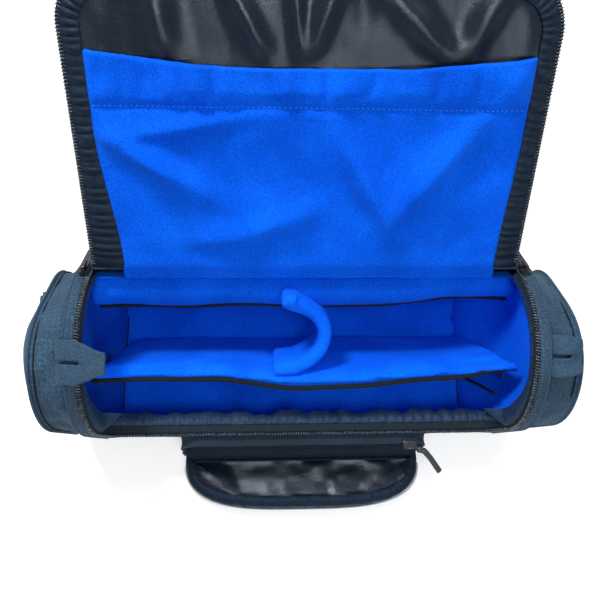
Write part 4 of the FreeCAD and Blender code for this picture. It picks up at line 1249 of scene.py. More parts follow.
class BAG_OT_dividers(bpy.types.Operator):
    """Long padded divider, the short curled one behind it, and its hook-tape tabs"""
    bl_idname = "bag.dividers"
    bl_label = "Dividers"

    def execute(self, context):
        self.long_divider(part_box("long_divider")[1].x)
        self.cross_divider()
        for side, sign in SIDES:
            x = sign * (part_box("divider_tabs")[1].x - 0.0012)

            def place(u, v, w, x=x, sign=sign):
                return Vector((x - sign * w, 0, 0)) + on_divider(DIVIDER_LENGTH - 0.034 + u, v + 0.006)

            tab = slab("%s_hook_tab" % side, material("hook"), patch(0.019, 0.010), place, 0.0012)
            settle(tab, "bag", *(["divider_tabs"] if sign < 0 else []))
        return {"FINISHED"}

    def long_divider(self, half):
        face = [(0.0, 1), (0.25, 1), (0.5, 1), (0.75, 1), (0.92, 1), (0.985, 0.7)]
        profile = [(u, -v) for u, v in face] + [(1.0, 0)] + face[::-1]

        def ring(x):
            points = []
            for u, v in profile:
                shift = lean_back(x) * u ** 1.5 + 0.002 * wobble(x, u * 0.1, 32, 0.1)
                p = on_divider(divider_rise(x) * u, v * DIVIDER_THICK / 2 + shift)
                rise = 0.010 * u * abs(x / DIVIDER_END) ** 5
                points.append(Vector((x * (1 + 0.055 * u * u), p.y, p.z + rise)))
            return points

        places = span(-half + 0.0015, half - 0.0015, 90)
        # The lighter fleece on the long divider is painted light.
        board = loft("long_divider_pad", material("fresh_fleece"), [ring(x) for x in places])
        board = plump(board, 0.005, 4.0, 0.004)
        settle(rumple(board, 0.0008, 0.035, 5.0), "bag", "long_divider")
        # A dark tube under the divider's top edge stands for the shadow beneath it: painted shadow, in the
        # binding's finish.
        line = []
        for x in span(-half + 0.004, half - 0.004, 110):
            shift = lean_back(x) * 0.93 + 0.002 * wobble(x, 0.095, 32, 0.1)
            p = on_divider(divider_rise(x) * 0.955, shift - DIVIDER_THICK / 2 - 0.0006)
            line.append(Vector((x * 1.05, p.y, p.z + 0.009 * abs(x / DIVIDER_END) ** 5)))
        settle(tube("divider_painted_shadow", material("binding"), line, 0.0024, sides=10), "bag")

    def cross_divider(self):
        """The short divider: from the long one's back round to the rear roll and back again."""
        box_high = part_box("cross_divider")[1]
        height, thick = 0.054, 0.0145
        start = DIVIDER_LENGTH - 0.012 - height
        front = 0.0063 + lean_back(0.0)
        rear = (Vector((0, box_high.y, box_high.z)) - DIVIDER_FOOT).dot(DIVIDER_REAR) - 0.004
        middle, radius = (rear + front) / 2, (rear - front) / 2
        bend_x, r, near, far = box_high.x - radius, radius - thick / 2, front + thick / 2, rear - thick / 2
        centre = [(-0.034, near), (-0.012, near + 0.001)]
        centre += [(bend_x + r * 1.02 * math.sin(a), middle - r * math.cos(a) + 0.002 * math.sin(2 * a))
                   for a in span(0, math.pi, 12)]
        centre += [(-0.008, far + 0.004), (-0.026, far + 0.006)]
        line = resample([Vector((x, off, 0)) for x, off in centre], 0.004)
        axes = frames_along(line)
        face = [(0.0, 1.0), (0.3, 1.0), (0.6, 1.0), (0.85, 1.0), (0.97, 0.72)]
        profile = face + [(1.0, 0.0)] + [(u, -v) for u, v in face[::-1]]
        rings = []
        for i, p in enumerate(line):
            share = i / (len(line) - 1)
            drop = 0.005 * belly(share) - 0.015 * smooth((share - 0.55) / 0.4) - 0.006
            ring = []
            for u, v in profile:
                q = p + axes[i][0] * (v * thick / 2)
                at = on_divider(start - drop + height * u, q.y)
                ring.append(Vector((q.x, at.y, at.z)))
            rings.append(ring)
        # The lighter fleece on the short divider is painted light.
        curl = plump(weld(loft("cross_divider_pad", material("fresh_fleece"), rings)), 0.004, 3.0, 0.003)
        settle(rumple(curl, 0.0006, 0.02, 7.0), "bag", "cross_divider")


# ---------------------------------------------------------------------------------------------
# Lid
# ---------------------------------------------------------------------------------------------
def from_hinge(point):
    return (point - HINGE).dot(ALONG)


def towards_hinge(s):
    """0 over the lid's upper half, rising to 1 at its hinge."""
    return smooth((0.130 - s) / 0.13)


def lid_half(s, inset):
    """Half width of the lid at s, measured from its coil's line."""
    edge, wide, bend = LID_LENGTH - COIL_R - inset, LID_COIL_X - inset, LID_CORNER - inset
    over = s - (edge - bend)
    return wide if over <= 0 else wide - bend + math.sqrt(max(bend * bend - over * over, 0.0))


def lid_edge(run, inset):
    """(x, s) on the lid's edge: up the left side, across the free end and down the right side."""
    wide, bend = LID_COIL_X, LID_CORNER
    straight, turn = LID_LENGTH - COIL_R - bend, bend * math.pi / 2
    across = 2 * (wide - bend)
    if run < straight:
        return -wide + inset, run
    run -= straight
    r = bend - inset
    if run < turn:
        a = run / bend
        return -wide + bend - r * math.cos(a), straight + r * math.sin(a)
    run -= turn
    if run < across:
        return -wide + bend + run, straight + r
    run -= across
    if run < turn:
        a = run / bend
        return wide - bend + r * math.sin(a), straight + r * math.cos(a)
    return wide - inset, straight - (run - turn)


LID_EDGE_TOTAL = 2 * (LID_LENGTH - COIL_R - LID_CORNER) + math.pi * LID_CORNER + 2 * (LID_COIL_X - LID_CORNER)


def lid_edge_spans(name, build):
    """Pieces that follow the lid's edge: two sides in each span, and one run round the free end."""
    def both(piece, s0, s1):
        if s1 > LID_LENGTH - 0.001:
            return build(piece, s0, LID_EDGE_TOTAL - s0)
        left = build(piece, s0, s1)
        right = build(piece + "_r", LID_EDGE_TOTAL - s1, LID_EDGE_TOTAL - s0)
        return join(piece, [left, right])
    return over_lid(name, both, 0.0012, LID_LENGTH)


def lid_sheet(name, key, inset, height, s_low, s_high, columns=84, step=0.0035, top=None):
    """A sheet over the lid's width. height(x, s) is its place off the middle plane; top(x) trims its end."""
    def build(piece, s0, s1):
        rows = max(3, round((s1 - s0) / step))

        def at(u, t):
            s = s0 + (s1 - s0) * t
            x = u * lid_half(s, inset)
            if top and s1 >= s_high - 1e-6:
                s = s0 + (top(x) - s0) * t
            return lid_at(x, s, height(x, s))

        obj = grid(piece, material(key), at, span(-1, 1, columns), span(0, 1, rows))
        lay_texture(obj, lambda v: (v.co.x, from_hinge(v.co)))
        return obj
    return over_lid(name, build, s_low, s_high)


def declare_spans(pieces, width):
    """Passes each of a lid sheet's spans to declare, with its run from the hinge as its length; declare leaves
    the piece as it is.
    """
    for piece in pieces:
        places = [from_hinge(v.co) for v in piece.data.vertices]
        declare(piece, width, max(places) - min(places))


def hem_top(x):
    """Where the fleece ends on the lid: a line that sags in the middle and rises to the sides."""
    return 0.1775 + 0.013 * abs(x / 0.187) ** 2.6 + 0.0015 * wobble(x, 0, 41, 0.07)


class BAG_OT_lid_outer(bpy.types.Operator):
    """Outer fabric of the lid, with its row of sewing"""
    bl_idname = "bag.lid_outer"
    bl_label = "Lid outer fabric"

    def execute(self, context):
        panel_inset = LID_COIL_X - LID_PANEL_X
        end = LID_LENGTH - COIL_R - panel_inset

        def height(x, s):
            e = min(lid_half(min(s, end), panel_inset) - abs(x), end - s)
            calm = smooth(e / 0.02)
            return -0.0031 + 0.0024 * (1 - smooth(e / 0.004)) - 0.0008 * calm * (
                wobble(x, s, 51, 0.08) + 0.4 * wobble(x, s, 52, 0.03))

        pieces = lid_sheet("lid_outer", "shell", panel_inset, height, 0.0, end)
        for k, piece in enumerate(pieces[:4]):
            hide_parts("lid_panel_%d" % (k + 1))
        declare_spans(pieces, 2 * LID_PANEL_X)

        def sewing(piece, a, b):
            runs = span(a, b, max(2, round((b - a) / 0.006)))
            line = [lid_at(*lid_edge(run, panel_inset + 0.004), -0.0036) for run in runs]
            return stitches(piece, material("dark_thread"), line, lambda p: -INWARD)

        lid_edge_spans("lid_outer_stitches", sewing)
        return {"FINISHED"}


class BAG_OT_lid_lining(bpy.types.Operator):
    """Inside of the lid: satin at the free end, a gathered rim, and the fleece with its hem"""
    bl_idname = "bag.lid_lining"
    bl_label = "Lid lining"

    def execute(self, context):
        self.satin()
        self.rim()
        self.fleece()
        return {"FINISHED"}

    def satin(self):
        inset = 0.013
        folds = [(-0.055, 0.215, 118, 0.04, 0.009, 0.0090), (0.010, 0.222, 72, 0.04, 0.009, 0.0095),
                 (-0.125, 0.215, 100, 0.04, 0.012, 0.0085), (0.085, 0.210, 140, 0.05, 0.011, 0.0080),
                 (0.140, 0.220, 60, 0.04, 0.011, 0.0080), (-0.015, 0.220, 96, 0.04, 0.006, 0.0070)]

        def height(x, s):
            calm = smooth((lid_half(s, inset) - abs(x)) / 0.02) * smooth((s - 0.168) / 0.03)
            sag = 0.0045 * wobble(x, s * 0.5, 61, 0.045) + 0.0022 * wobble(x, s * 0.4, 62, 0.018)
            return 0.0031 + calm * max(ridges(x, s, folds) + sag, -0.001)

        pieces = lid_sheet("lid_satin", "satin", inset, height, 0.160, LID_LENGTH - COIL_R - inset, 120, 0.0022)
        declare_spans(pieces, 2 * LID_PANEL_X)

    def rim(self):
        depth, pitch, edge = sizes().gather_depth * 3.8, sizes().gather_pitch * 0.9, 0.0018

        def build(piece, a, b):
            def at(run, t):
                x, s = lid_edge(run, edge)
                wide = (0.013 if x < 0 else 0.007) * towards_hinge(s)
                x, s = lid_edge(run, edge + (0.0158 + wide) * t)
                wave = gathers(run, 6.0, pitch) * depth * belly(min(0.1 + 0.85 * t, 1.0))
                return lid_at(x, s, 0.0006 + 0.0040 * smooth(t) + wave)

            count = max(3, round((b - a) / 0.0016))
            return grid(piece, material("gathered"), at, span(a, b, count), span(0, 1, 7))
        lid_edge_spans("lid_rim", build)

    def fleece(self):
        hem, edge_x, foot = 0.146, 0.1865, -0.0142
        creases = [(-0.112, 0.130, 8, 0.05, 0.007, 0.0090), (-0.135, 0.098, -32, 0.050, 0.010, 0.0150),
                   (0.052, 0.078, -58, 0.055, 0.012, 0.0165), (0.115, 0.100, 52, 0.060, 0.012, 0.0130),
                   (-0.050, 0.040, 18, 0.060, 0.013, 0.0095), (-0.024, 0.1515, 3, 0.035, 0.004, -0.0030)]

        def height(x, s):
            inside, past_hem = edge_x + 0.0003 - abs(x), s - hem
            lift = 0.0052 * smooth((inside + 0.0002) / 0.0035) + 0.0010
            if s < 0.004:
                lift = min(lift, 0.0062 * smooth((s - foot + 0.0003) / 0.018))
            puff = 0.0065 * wobble(x, s, 71, 0.070) + 0.0018 * wobble(x, s, 72, 0.026)
            stitch_line = -0.0028 * bump(past_hem, 0.0032)
            pucker = 0.0170 * smooth(past_hem / 0.016) * abs(noise.noise(Vector((x / 0.022, 0.3, s / 0.09))))
            pucker *= math.exp(-past_hem / 0.04)
            band = 0.0016 + 0.0045 * wobble(x, 0, 73, 0.045) * smooth(past_hem / 0.03)
            band *= smooth(past_hem / 0.004)
            calm = smooth(inside / 0.012) * smooth((s - 0.01) / 0.02)
            to_top = hem_top(x) - s
            tuck = -0.0030 * (1 - smooth(to_top / 0.0022))
            folds = ridges(x, s, creases) + stitch_line + pucker + band
            return lift + calm * (max(puff, -0.001) + folds) + tuck

        def drawn_in(x, s):
            """Narrows the sheet towards the hinge, more on the left."""
            return x * (1 - (0.062 if x < 0 else 0.026) * towards_hinge(s))

        def build(piece, s0, s1):
            final = s1 > 0.17
            rows = round((s1 - s0) / (0.0014 if final else 0.0028))

            def at(x, t):
                stop = hem_top(x) if final else s1
                s = s0 + (stop - s0) * (1 - (1 - t) ** 1.15 if final else t)
                return lid_at(drawn_in(x, s), s, height(x, s))

            columns = [-edge_x] + span(-edge_x + 0.0012, edge_x - 0.0012, 140) + [edge_x]
            return grid(piece, material("fleece"), at, columns, span(0, 1, rows))

        pieces = over_lid("lid_fleece_sheet", build, foot, 0.190,
                          ("lid_fleece_1", "lid_fleece_2", "lid_fleece_3"))
        declare_spans(pieces, 2 * edge_x)
        line = [lid_at(x, hem, height(x, hem) + 0.0004) for x in span(-edge_x + 0.004, edge_x - 0.004, 140)]
        sewing = stitches("lid_hem_stitches", material("blue_thread"), line, lambda p: INWARD, 0.0022, 0.0022,
                          0.00034)
        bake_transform(sewing)


class BAG_OT_lid_zipper(bpy.types.Operator):
    """The lid's half of the main zipper, the sewn strip at its hinge and the seam along it"""
    bl_idname = "bag.lid_zipper"
    bl_label = "Main zipper on the lid"

    def execute(self, context):
        def tape(piece, a, b):
            def at(run, t):
                x, s = lid_edge(run, -0.0016 + 0.0155 * t)
                return lid_at(x, s, -0.0002 - 0.0006 * t)
            return grid(piece, material("tape"), at, span(a, b, max(3, round((b - a) / 0.004))), span(0, 1, 4))

        def teeth(piece, a, b):
            line = [lid_at(*lid_edge(run, 0.0), 0.0) for run in span(a, b, max(3, round((b - a) / 0.003)))]
            return coil(piece, material("coil"), line, lambda p: INWARD, sizes().coil_pitch, 0.0022, 0.0013)

        for k, piece in enumerate(lid_edge_spans("lid_tape", tape)):
            if k < 4:
                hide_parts("lid_zip_%d" % (k + 1))
        lid_edge_spans("lid_coil", teeth)

        def at_hinge(piece):
            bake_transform(piece)

        def strip(x, q):
            if q <= 0:
                degrees = HINGE_DEGREES + math.degrees(q / RADIUS)
                return on_arch(RADIUS + 0.0011 + 0.0026 * smooth(1 + q / 0.012), degrees, x)
            return lid_at(x, q, -0.0036 + 0.0009 * smooth((q - 0.006) / 0.003))

        band = grid("hinge_band", material("webbing"), strip, span(-LID_PANEL_X, LID_PANEL_X, 80),
                    span(-0.0135, 0, 7) + span(0.0015, 0.009, 5))
        at_hinge(band)
        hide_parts("hinge_strip")

        for side, sign in SIDES:
            def zip_end(x, q, sign=sign):
                if q <= 0:
                    return on_arch(RADIUS + 0.0008, HINGE_DEGREES + math.degrees(q / RADIUS), sign * x)
                return lid_at(sign * x, q, -0.0008)

            at_hinge(grid("%s_zip_end" % side, material("tape"), zip_end, span(0.186, 0.2045, 8),
                          span(-0.012, 0, 6) + span(0.0015, 0.012, 6)))
        return {"FINISHED"}


class BAG_OT_carry_handle(bpy.types.Operator):
    """Webbing grip on the outside of the lid, with boxed stitching on its feet"""
    bl_idname = "bag.carry_handle"
    bl_label = "Carry handle"

    def execute(self, context):
        middle, end = 1.5 * SECTION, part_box("carry_handle")[1].x
        face, rise, width = -0.0045, 0.0238, 0.025
        foot = [(end, 0), (end - 0.020, 0), (end - 0.026, 0.004), (end - 0.034, 0.0195), (end - 0.043, rise)]
        profile = [(-x, n) for x, n in foot] + [(0, rise + 0.0003)] + foot[::-1]
        path = resample([Vector((x, 0, n)) for x, n in profile], 0.003)

        def at(i, t):
            p = path[i]
            gripped = 1.0 if abs(p.x) < 0.03 else 0.0
            wide = width * (1 - 0.22 * gripped)
            sag = 0.0022 * gripped * (2 * t - 1) ** 2
            return lid_at(p.x, middle + wide * (t - 0.5), face - p.z + sag)

        grip = grid("carry_grip", material("webbing"), at, range(len(path)), span(0, 1, 8))
        lay_texture(grip, lambda v: ((v.index // 9) * 0.003, (v.index % 9) * 0.0031))
        settle(rounded(cloth(grip, 0.0026)), "lid_2", "carry_handle")
        for side, sign in SIDES:
            x0, x1 = sign * (end - 0.003), sign * (end - 0.018)
            y0, y1 = middle - 0.010, middle + 0.010
            corners = [(x0, y0), (x1, y0), (x1, y1), (x0, y1), (x0, y0), (x1, y1), (x1, y0), (x0, y1)]
            line = [lid_at(x, s, face - 0.0016) for x, s in corners]
            parts = [stitches("seam", material("dark_thread"), [a, b], lambda p: -INWARD)
                     for a, b in zip(line, line[1:])]
            settle(join("%s_handle_stitches" % side, parts), "lid_2")
        return {"FINISHED"}


# ---------------------------------------------------------------------------------------------
# Loops, front pocket and fittings
# ---------------------------------------------------------------------------------------------
class BAG_OT_loops(bpy.types.Operator):
    """Folded webbing loops at the two ends"""
    bl_idname = "bag.loops"
    bl_label = "End loops"

    def execute(self, context):
        a = math.radians(107.0)
        out, tangent = Vector((0, math.cos(a), math.sin(a))), Vector((0, -math.sin(a), math.cos(a)))
        centre = Vector((0, 0, CENTRE_Z))
        root = Vector((0.2186, 0, 0.0836))
        half, slit = 0.0195, 0.0014
        left_path = [(0, 0), (0, 0.008), (-0.0003, 0.0145), (-0.0045, 0.0185), (-0.020, 0.0245),
                     (-0.046, 0.0325)]
        right_path = [(0, 0), (0.0004, 0.0035), (0.004, 0.0065), (0.012, 0.0075), (0.027, 0.0068)]
        for side, sign, profile, body, slit_share, narrowing, crumple in (
                ("left", -1, left_path, "left_loop", 0.60, 0.50, 0.0),
                ("right", 1, right_path, "bag", 0.62, 0.20, 0.0042)):
            path = resample([root + Vector((x, 0, rise)) for x, rise in profile], 0.0025)
            count = len(path) - 1

            def at(i, t, path=path, sign=sign, count=count, narrowing=narrowing, crumple=crumple):
                p, along = path[i], i / count
                mitre = 1 - narrowing * smooth((along - 0.50) / 0.5)
                lift = 0.0012 * math.sin(along * 5 + (0 if t < 0 else 1.3))
                lift += 0.0009 * wobble(p.x, t, 81 + sign, 0.012)
                raised = p.z + lift * along + crumple * wobble(p.x, t, 85, 0.013) * smooth(along / 0.4)
                return centre + Vector((sign * p.x, 0, 0)) + out * raised + tangent * (t * mitre)

            parts = [grid("leg", material("webbing"), at, range(count + 1), span(t0, t1, 6))
                     for t0, t1 in ((-half, -slit), (slit, half))]
            parts.append(grid("bridge", material("webbing"), at, range(round(count * slit_share), count + 1),
                              [-slit, 0.0, slit]))
            loop = weld(join("%s_loop_strap" % side, parts), FAN)
            lay_texture(loop, lambda v: (v.co.x + v.co.z, v.co.y))
            settle(rounded(cloth(loop, 0.0024)), body, "%s_loop" % side)
        return {"FINISHED"}


FRONT_POCKET_HALF = 0.134
FRONT_POCKET_TOP = 0.069
FRONT_POCKET_FOOT = 0.004
OUTLINE_STEP = 0.004


def pocket_rim(z):
    """Y of the front pocket's sloping rim at a height."""
    top, bottom = high("front_pocket_lining").z + 0.0028, low("front_pocket_wall").z
    return -RADIUS - 0.0193 + 0.009 * (z - bottom) / (top - bottom)


def pocket_loop(inset):
    """Points round the front pocket's outline."""
    half, top, bottom = FRONT_POCKET_HALF - inset, FRONT_POCKET_TOP - inset, FRONT_POCKET_FOOT + inset
    upper, lower = 0.022 - inset, max(0.008 - inset, 0.002)
    corners = [(-half, bottom, lower), (half, bottom, lower), (half, top, upper), (-half, top, upper)]
    return resample([Vector((p.x, 0, p.y)) for p in rounded_path(corners, 10)], OUTLINE_STEP, closed=True)


def unbroken(line):
    """Leaves out the points past a gap in a line."""
    kept = [line[0]]
    for p in line[1:]:
        if (p - kept[-1]).length < 0.02:
            kept.append(p)
    return kept


class BAG_OT_front_pocket(bpy.types.Operator):
    """Front pocket: its walls, satin back and coil round the mouth"""
    bl_idname = "bag.front_pocket"
    bl_label = "Front pocket"

    def execute(self, context):
        loop = pocket_loop(0.0)
        n = len(loop)
        back = -RADIUS - 0.0004

        def wall(i, t):
            p = loop[i]
            ahead = (loop[(i + 1) % n] - loop[i - 1]).normalized()
            give = 0.0
            if p.z > 0.02:
                give = 0.0012 * belly(t) * (1 + wobble(i * OUTLINE_STEP, t * 0.01, 91, 0.03))
            q = p + Vector((-ahead.z, 0, ahead.x)) * give
            return Vector((q.x, back + (pocket_rim(p.z) - back) * t, q.z))

        # The gusset takes the darker copy of the outer fabric: painted shade.
        side = grid("front_pocket_gusset", material("painted_shade_shell"), wall, range(n), span(0, 1, 6), closed=True)
        lay_texture(side, lambda v: ((v.index // 7) * OUTLINE_STEP, (v.index % 7) * 0.0025))
        settle(cloth(side, 0.0020, -1.0), "bag", "front_pocket_wall")
        declare(side, 4 * FRONT_POCKET_HALF + 4 * 0.032, 0.0145)

        inner = pocket_loop(0.0026)
        middle = Vector((0, 0, (FRONT_POCKET_TOP + FRONT_POCKET_FOOT) / 2))

        def lining(i, t):
            q = middle.lerp(inner[i], t)
            fold = 0.0016 * (wobble(q.x, q.z, 95, 0.03) + 0.5) * (1 - t ** 5)
            return Vector((q.x, back - 0.0008 - max(fold, 0), q.z))

        sheet = grid("front_pocket_satin", material("satin"), lining, range(len(inner)),
                     [0.02] + span(0.07, 1, 16), closed=True)
        settle(sheet, "bag", "front_pocket_lining")
        declare(sheet, 0.263, 0.060)

        line = pocket_loop(0.0011)
        start = min(range(len(line)), key=lambda i: (abs(line[i].z - 0.016) + (0.2 if line[i].x > 0 else 0)))
        line = line[start:] + line[:start]
        run = [Vector((p.x, pocket_rim(p.z) - 0.0016, p.z)) for p in line if p.z > 0.0155]
        teeth = coil("pocket_coil", material("coil"), unbroken(run), lambda p: Vector((0, -0.99, 0.14)),
                     sizes().pocket_coil_pitch, 0.0013, 0.0011, 0.00036)
        settle(teeth, "bag", "front_pocket_coil")
        return {"FINISHED"}


class BAG_OT_flap(bpy.types.Operator):
    """Open flap of the front pocket: outer fabric, satin inside with a gathered border, and its coil"""
    bl_idname = "bag.flap"
    bl_label = "Front pocket flap"

    def execute(self, context):
        axis = joint_place("flap_hinge")
        a = math.radians(77.0)
        along, inward = Vector((0, -math.sin(a), math.cos(a))), Vector((0, math.cos(a), math.sin(a)))
        half, length, bend = 0.1345, 0.0605, 0.040

        def place(p, n):
            return Vector((p.x, axis.y, axis.z)) + along * p.y + inward * n

        def outline(inset):
            wide, deep, foot = half - inset, length - inset, 0.002 + inset * 0.5
            edge = [Vector((-wide + 2 * wide * k / 60, foot, 0)) for k in range(60)]
            for turn in span(0, math.pi, 96)[:-1]:
                c, q = math.cos(turn), math.sin(turn)
                x = wide * math.copysign(abs(c) ** (2 / 3.4), c)
                edge.append(Vector((x, foot + (deep - foot) * q ** (2 / 2.8), 0)))
            return edge

        total = resample(outline(0.0040), 0.0024, closed=True)
        count = len(total)

        def core_of(p, inset=0.03):
            """The point of the flap's middle line from which a point of its edge is reached."""
            return Vector((max(min(p.x, half - inset), -half + inset), length * 0.5, 0))

        def shell(i, t):
            p = core_of(total[i]).lerp(total[i], t)
            dome = -0.0030 - 0.0006 * (1 - t ** 3) - 0.0006 * wobble(p.x, p.y, 101, 0.03) * (1 - t ** 4)
            return place(p, dome + 0.0012 * smooth((t - 0.93) / 0.07) - 0.0014 * smooth((t - 1.0) / 0.04))

        outer = weld(grid("flap_outer", material("shell"), shell, range(count),
                          [0.0] + span(0.1, 0.9, 10) + [0.95, 1.0, 1.05, 1.125], closed=True), FAN)
        lay_texture(outer, lambda v: (v.co.x, (v.co - axis).dot(along)))
        settle(outer, "flap", "flap_shell")
        declare(outer, 2 * half, length)

        ring = 0.0100

        def inset_point(i, inset):
            p = total[i]
            q = Vector((max(min(p.x, half - bend), -half + bend), max(min(p.y, length - bend), 0.004), 0))
            d = q - p
            if d.length < 1e-6:
                d = core_of(p) - p
            if p.y < 0.0045:
                return p + Vector((0, inset * 0.35, 0))
            return p + d.normalized() * inset

        def satin(i, t):
            edge = inset_point(i, ring * 0.92)
            p = core_of(edge, 0.05).lerp(edge, t)
            folds = 0.0085 * max(wobble(p.x, p.y * 0.55, 103, 0.034), -0.2)
            folds += 0.0014 * wobble(p.x, p.y, 104, 0.018)
            return place(p, 0.0014 + folds * (1 - t ** 5))

        inner = weld(grid("flap_satin", material("satin"), satin, range(count), [0.0] + span(0.08, 1, 16),
                          closed=True), FAN)
        settle(inner, "flap", "flap_lining")
        declare(inner, 2 * (half - ring), length - 1.5 * ring)

        runs = distances(total)

        def border(i, t):
            lift = gathers(runs[i], 9.0, 0.0072) * 0.0042 * belly(min(0.15 + 0.85 * t, 1)) ** 0.8
            return place(inset_point(i, ring * t), -0.0016 + 0.0030 * smooth(t * 1.6) + lift)

        gathered = grid("flap_border", material("gathered"), border, range(count), span(0, 1, 7), closed=True)
        settle(gathered, "flap")
        declare(gathered, ring, runs[-1])

        rim = resample(outline(0.0018), 0.003, closed=True)
        start = min(range(len(rim)), key=lambda i: abs(rim[i].y - 0.0115) + (1 if rim[i].x < 0 else 0))
        line = unbroken([p for p in rim[start:] + rim[:start] if p.y > 0.0105])
        teeth = coil("flap_zip", material("coil"), [place(p, -0.0012) for p in line], lambda p: inward,
                     sizes().pocket_coil_pitch, 0.0019, 0.0012, 0.00042)
        settle(teeth, "flap", "flap_coil")

        bend_line = [(-0.1030, 0.0044), (-0.1062, 0.0036), (-0.1098, 0.0034), (-0.1135, 0.0041),
                     (-0.1165, 0.0050)]
        # The hinge strip's outer side takes the darker copy of the outer fabric: painted shade.
        for name, key, up, ripple in (("flap_hinge_outer", "painted_shade_shell", 0.0, 0.0),
                                      ("flap_hinge_lining", "gathered", 0.0012, 0.000384)):
            def hinge(x, t, up=up, ripple=ripple):
                k = min(int(t * 4), 3)
                (y0, z0), (y1, z1) = bend_line[k], bend_line[k + 1]
                f = t * 4 - k
                z = z0 + (z1 - z0) * f + up + ripple * wobble(x, t, 107, 0.012)
                return Vector((x, y0 + (y1 - y0) * f, z))

            strip = grid(name, material(key), hinge, span(-0.1335, 0.1335, 90), span(0, 1, 8))
            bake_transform(strip)
            declare(strip, 0.267, 0.014)
        return {"FINISHED"}


class BAG_OT_fittings(bpy.types.Operator):
    """Finishes for the sliders and the main pulls, and the front pocket's pull strap"""
    bl_idname = "bag.fittings"
    bl_label = "Sliders and pulls"

    def execute(self, context):
        sliders = ("left_slider", "right_slider", "left_face_slider", "right_face_slider", "pocket_slider")
        for key, nodes in (("metal", sliders), ("rubber", ("left_pull", "right_pull"))):
            for node in nodes:
                obj = frame["nodes"][node]
                obj.data.materials.clear()
                obj.data.materials.append(material(key))
        pin = joint_place("pocket_pull_swing")
        bends = [pin + Vector(v) for v in ((-0.0012, 0, 0), (0.006, -0.0020, -0.0004),
                                           (0.013, -0.0095, -0.0040), (0.0235, -0.0235, -0.0100))]
        strap = tube("pocket_pull_cord", material("rubber"), resample(bends, 0.0012), 0.0033, sides=12,
                     flat=0.65)
        settle(strap, "pocket_pull", "pocket_pull")
        return {"FINISHED"}


# ---------------------------------------------------------------------------------------------
# Stage
# ---------------------------------------------------------------------------------------------
def aimed(obj, place, target):
    obj.location = place
    obj.rotation_euler = (Vector(target) - Vector(place)).to_track_quat("-Z", "Y").to_euler()
    return obj


def studio():
    """World that lights the bag softly and looks white to the camera."""
    world = bpy.data.worlds.new("studio")
    world.use_nodes = True
    tree = world.node_tree
    plain = tree.nodes["Background"]
    plain.inputs[0].default_value = (0.36, 0.37, 0.385, 1)
    white = tree.nodes.new("ShaderNodeBackground")
    white.inputs[0].default_value = (1, 1, 1, 1)
    rays = tree.nodes.new("ShaderNodeLightPath")
    mix = tree.nodes.new("ShaderNodeMixShader")
    tree.links.new(rays.outputs["Is Camera Ray"], mix.inputs[0])
    tree.links.new(plain.outputs[0], mix.inputs[1])
    tree.links.new(white.outputs[0], mix.inputs[2])
    tree.links.new(mix.outputs[0], tree.nodes["World Output"].inputs[0])
    return world


def floor_material():
    """Pale matt floor that glows a little, for the camera only."""
    floor = bpy.data.materials.new("floor")
    floor.use_nodes = True
    tree = floor.node_tree
    shader = tree.nodes["Principled BSDF"]
    shader.inputs["Base Color"].default_value = (*colours().floor, 1)
    shader.inputs["Roughness"].default_value = 0.95
    shader.inputs["Emission Color"].default_value = (1, 1, 1, 1)
    rays = tree.nodes.new("ShaderNodeLightPath")
    glow = tree.nodes.new("ShaderNodeMath")
    glow.operation = "MULTIPLY"
    glow.inputs[1].default_value = 0.35
    tree.links.new(rays.outputs["Is Camera Ray"], glow.inputs[0])
    tree.links.new(glow.outputs[0], shader.inputs["Emission Strength"])
    return floor


def camera(place, down, aside, roll):
    """Camera turned down and aside from straight ahead, then rolled, in degrees."""
    lens = bpy.data.cameras.new("camera")
    lens.lens, lens.sensor_width = 36.0, 36.0
    lens.clip_start, lens.clip_end = 0.01, 50
    obj = bpy.data.objects.new("camera", lens)
    bpy.context.scene.collection.objects.link(obj)
    tilt, turned, roll = math.radians(down), math.radians(aside), math.radians(roll)
    level = math.cos(tilt)
    ahead = Vector((math.sin(turned) * level, math.cos(turned) * level, -math.sin(tilt)))
    right = Vector((math.cos(turned), -math.sin(turned), 0))
    up = right.cross(ahead)
    up, right = up * math.cos(roll) + right * math.sin(roll), right * math.cos(roll) - up * math.sin(roll)
    obj.matrix_world = Matrix.Translation(place) @ Matrix((right, up, -ahead)).transposed().to_4x4()
    return obj


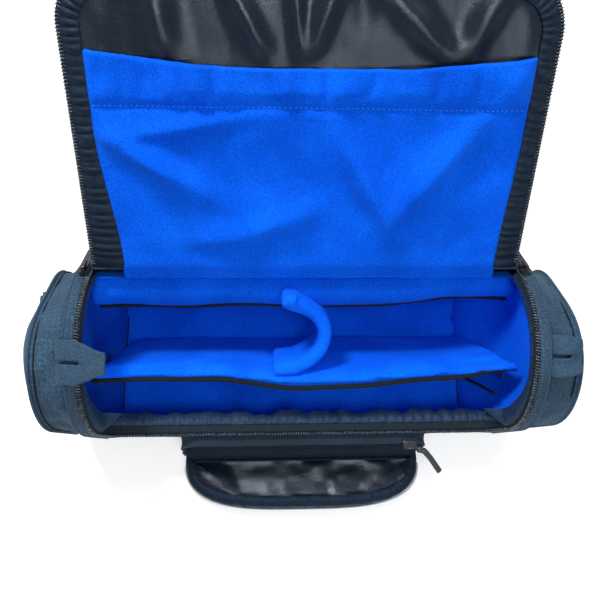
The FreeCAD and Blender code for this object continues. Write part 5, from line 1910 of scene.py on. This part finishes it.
class BAG_OT_stage(bpy.types.Operator):
    """Pale floor, plain soft lamps, world and camera"""
    bl_idname = "bag.stage"
    bl_label = "Stage and camera"

    def execute(self, context):
        scene = context.scene
        scene.view_settings.view_transform = "Standard"
        scene.world = studio()
        reach = span(-4.0, 4.0, 24)
        grid("floor", floor_material(), lambda x, y: Vector((x, y, -0.0002)), reach, reach)
        for name, place, target, wide, deep, power in (
                ("key", (-0.60, 0.80, 1.45), (0, 0, 0.15), 0.30, 0.30, 23.0),
                ("top", (0.10, -0.38, 1.60), (0, 0, 0.1), 0.40, 0.40, 8.5),
                ("rear", (0.65, 0.85, 1.25), (0, 0, 0.12), 0.5, 0.3, 3.0),
                ("front", (0.45, -1.20, 1.25), (0, 0.05, 0.1), 0.6, 0.25, 4.5)):
            lamp = bpy.data.lights.new(name, "AREA")
            lamp.shape = "RECTANGLE"
            lamp.size, lamp.size_y, lamp.energy = wide, deep, power
            obj = bpy.data.objects.new(name, lamp)
            scene.collection.objects.link(obj)
            aimed(obj, place, target)
        scene.camera = camera((-0.0355, -0.1076, 0.7238), 75.38, 11.01, -10.48)
        return {"FINISHED"}


# ---------------------------------------------------------------------------------------------
# Panel and running order
# ---------------------------------------------------------------------------------------------
STEPS = (BAG_OT_stage, BAG_OT_shell, BAG_OT_end_pockets, BAG_OT_inner_fleece, BAG_OT_main_zipper,
         BAG_OT_facing, BAG_OT_bolster, BAG_OT_dividers, BAG_OT_lid_outer, BAG_OT_lid_lining, BAG_OT_lid_zipper,
         BAG_OT_carry_handle, BAG_OT_loops, BAG_OT_front_pocket, BAG_OT_flap, BAG_OT_fittings)


class BAG_PT_panel(bpy.types.Panel):
    """Lists the bag's pieces in the order in which they are made"""
    bl_idname = "BAG_PT_panel"
    bl_label = "Bowling ball bag"
    bl_space_type = "VIEW_3D"
    bl_region_type = "UI"
    bl_category = "Bag"

    def draw(self, context):
        for group in (context.scene.bag_sizes, context.scene.bag_colours):
            for name in group.__annotations__:
                self.layout.prop(group, name)
        for step in STEPS:
            self.layout.operator(step.bl_idname)


CLASSES = (BagSizes, BagColours, *STEPS, BAG_PT_panel)


def register():
    for cls in CLASSES:
        bpy.utils.register_class(cls)
    bpy.types.Scene.bag_sizes = PointerProperty(type=BagSizes)
    bpy.types.Scene.bag_colours = PointerProperty(type=BagColours)


def unregister():
    del bpy.types.Scene.bag_colours
    del bpy.types.Scene.bag_sizes
    for cls in reversed(CLASSES):
        bpy.utils.unregister_class(cls)


def main():
    register()
    for step in STEPS:
        group, name = step.bl_idname.split(".")
        getattr(getattr(bpy.ops, group), name)()
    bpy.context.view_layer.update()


if __name__ == "__main__":
    main()
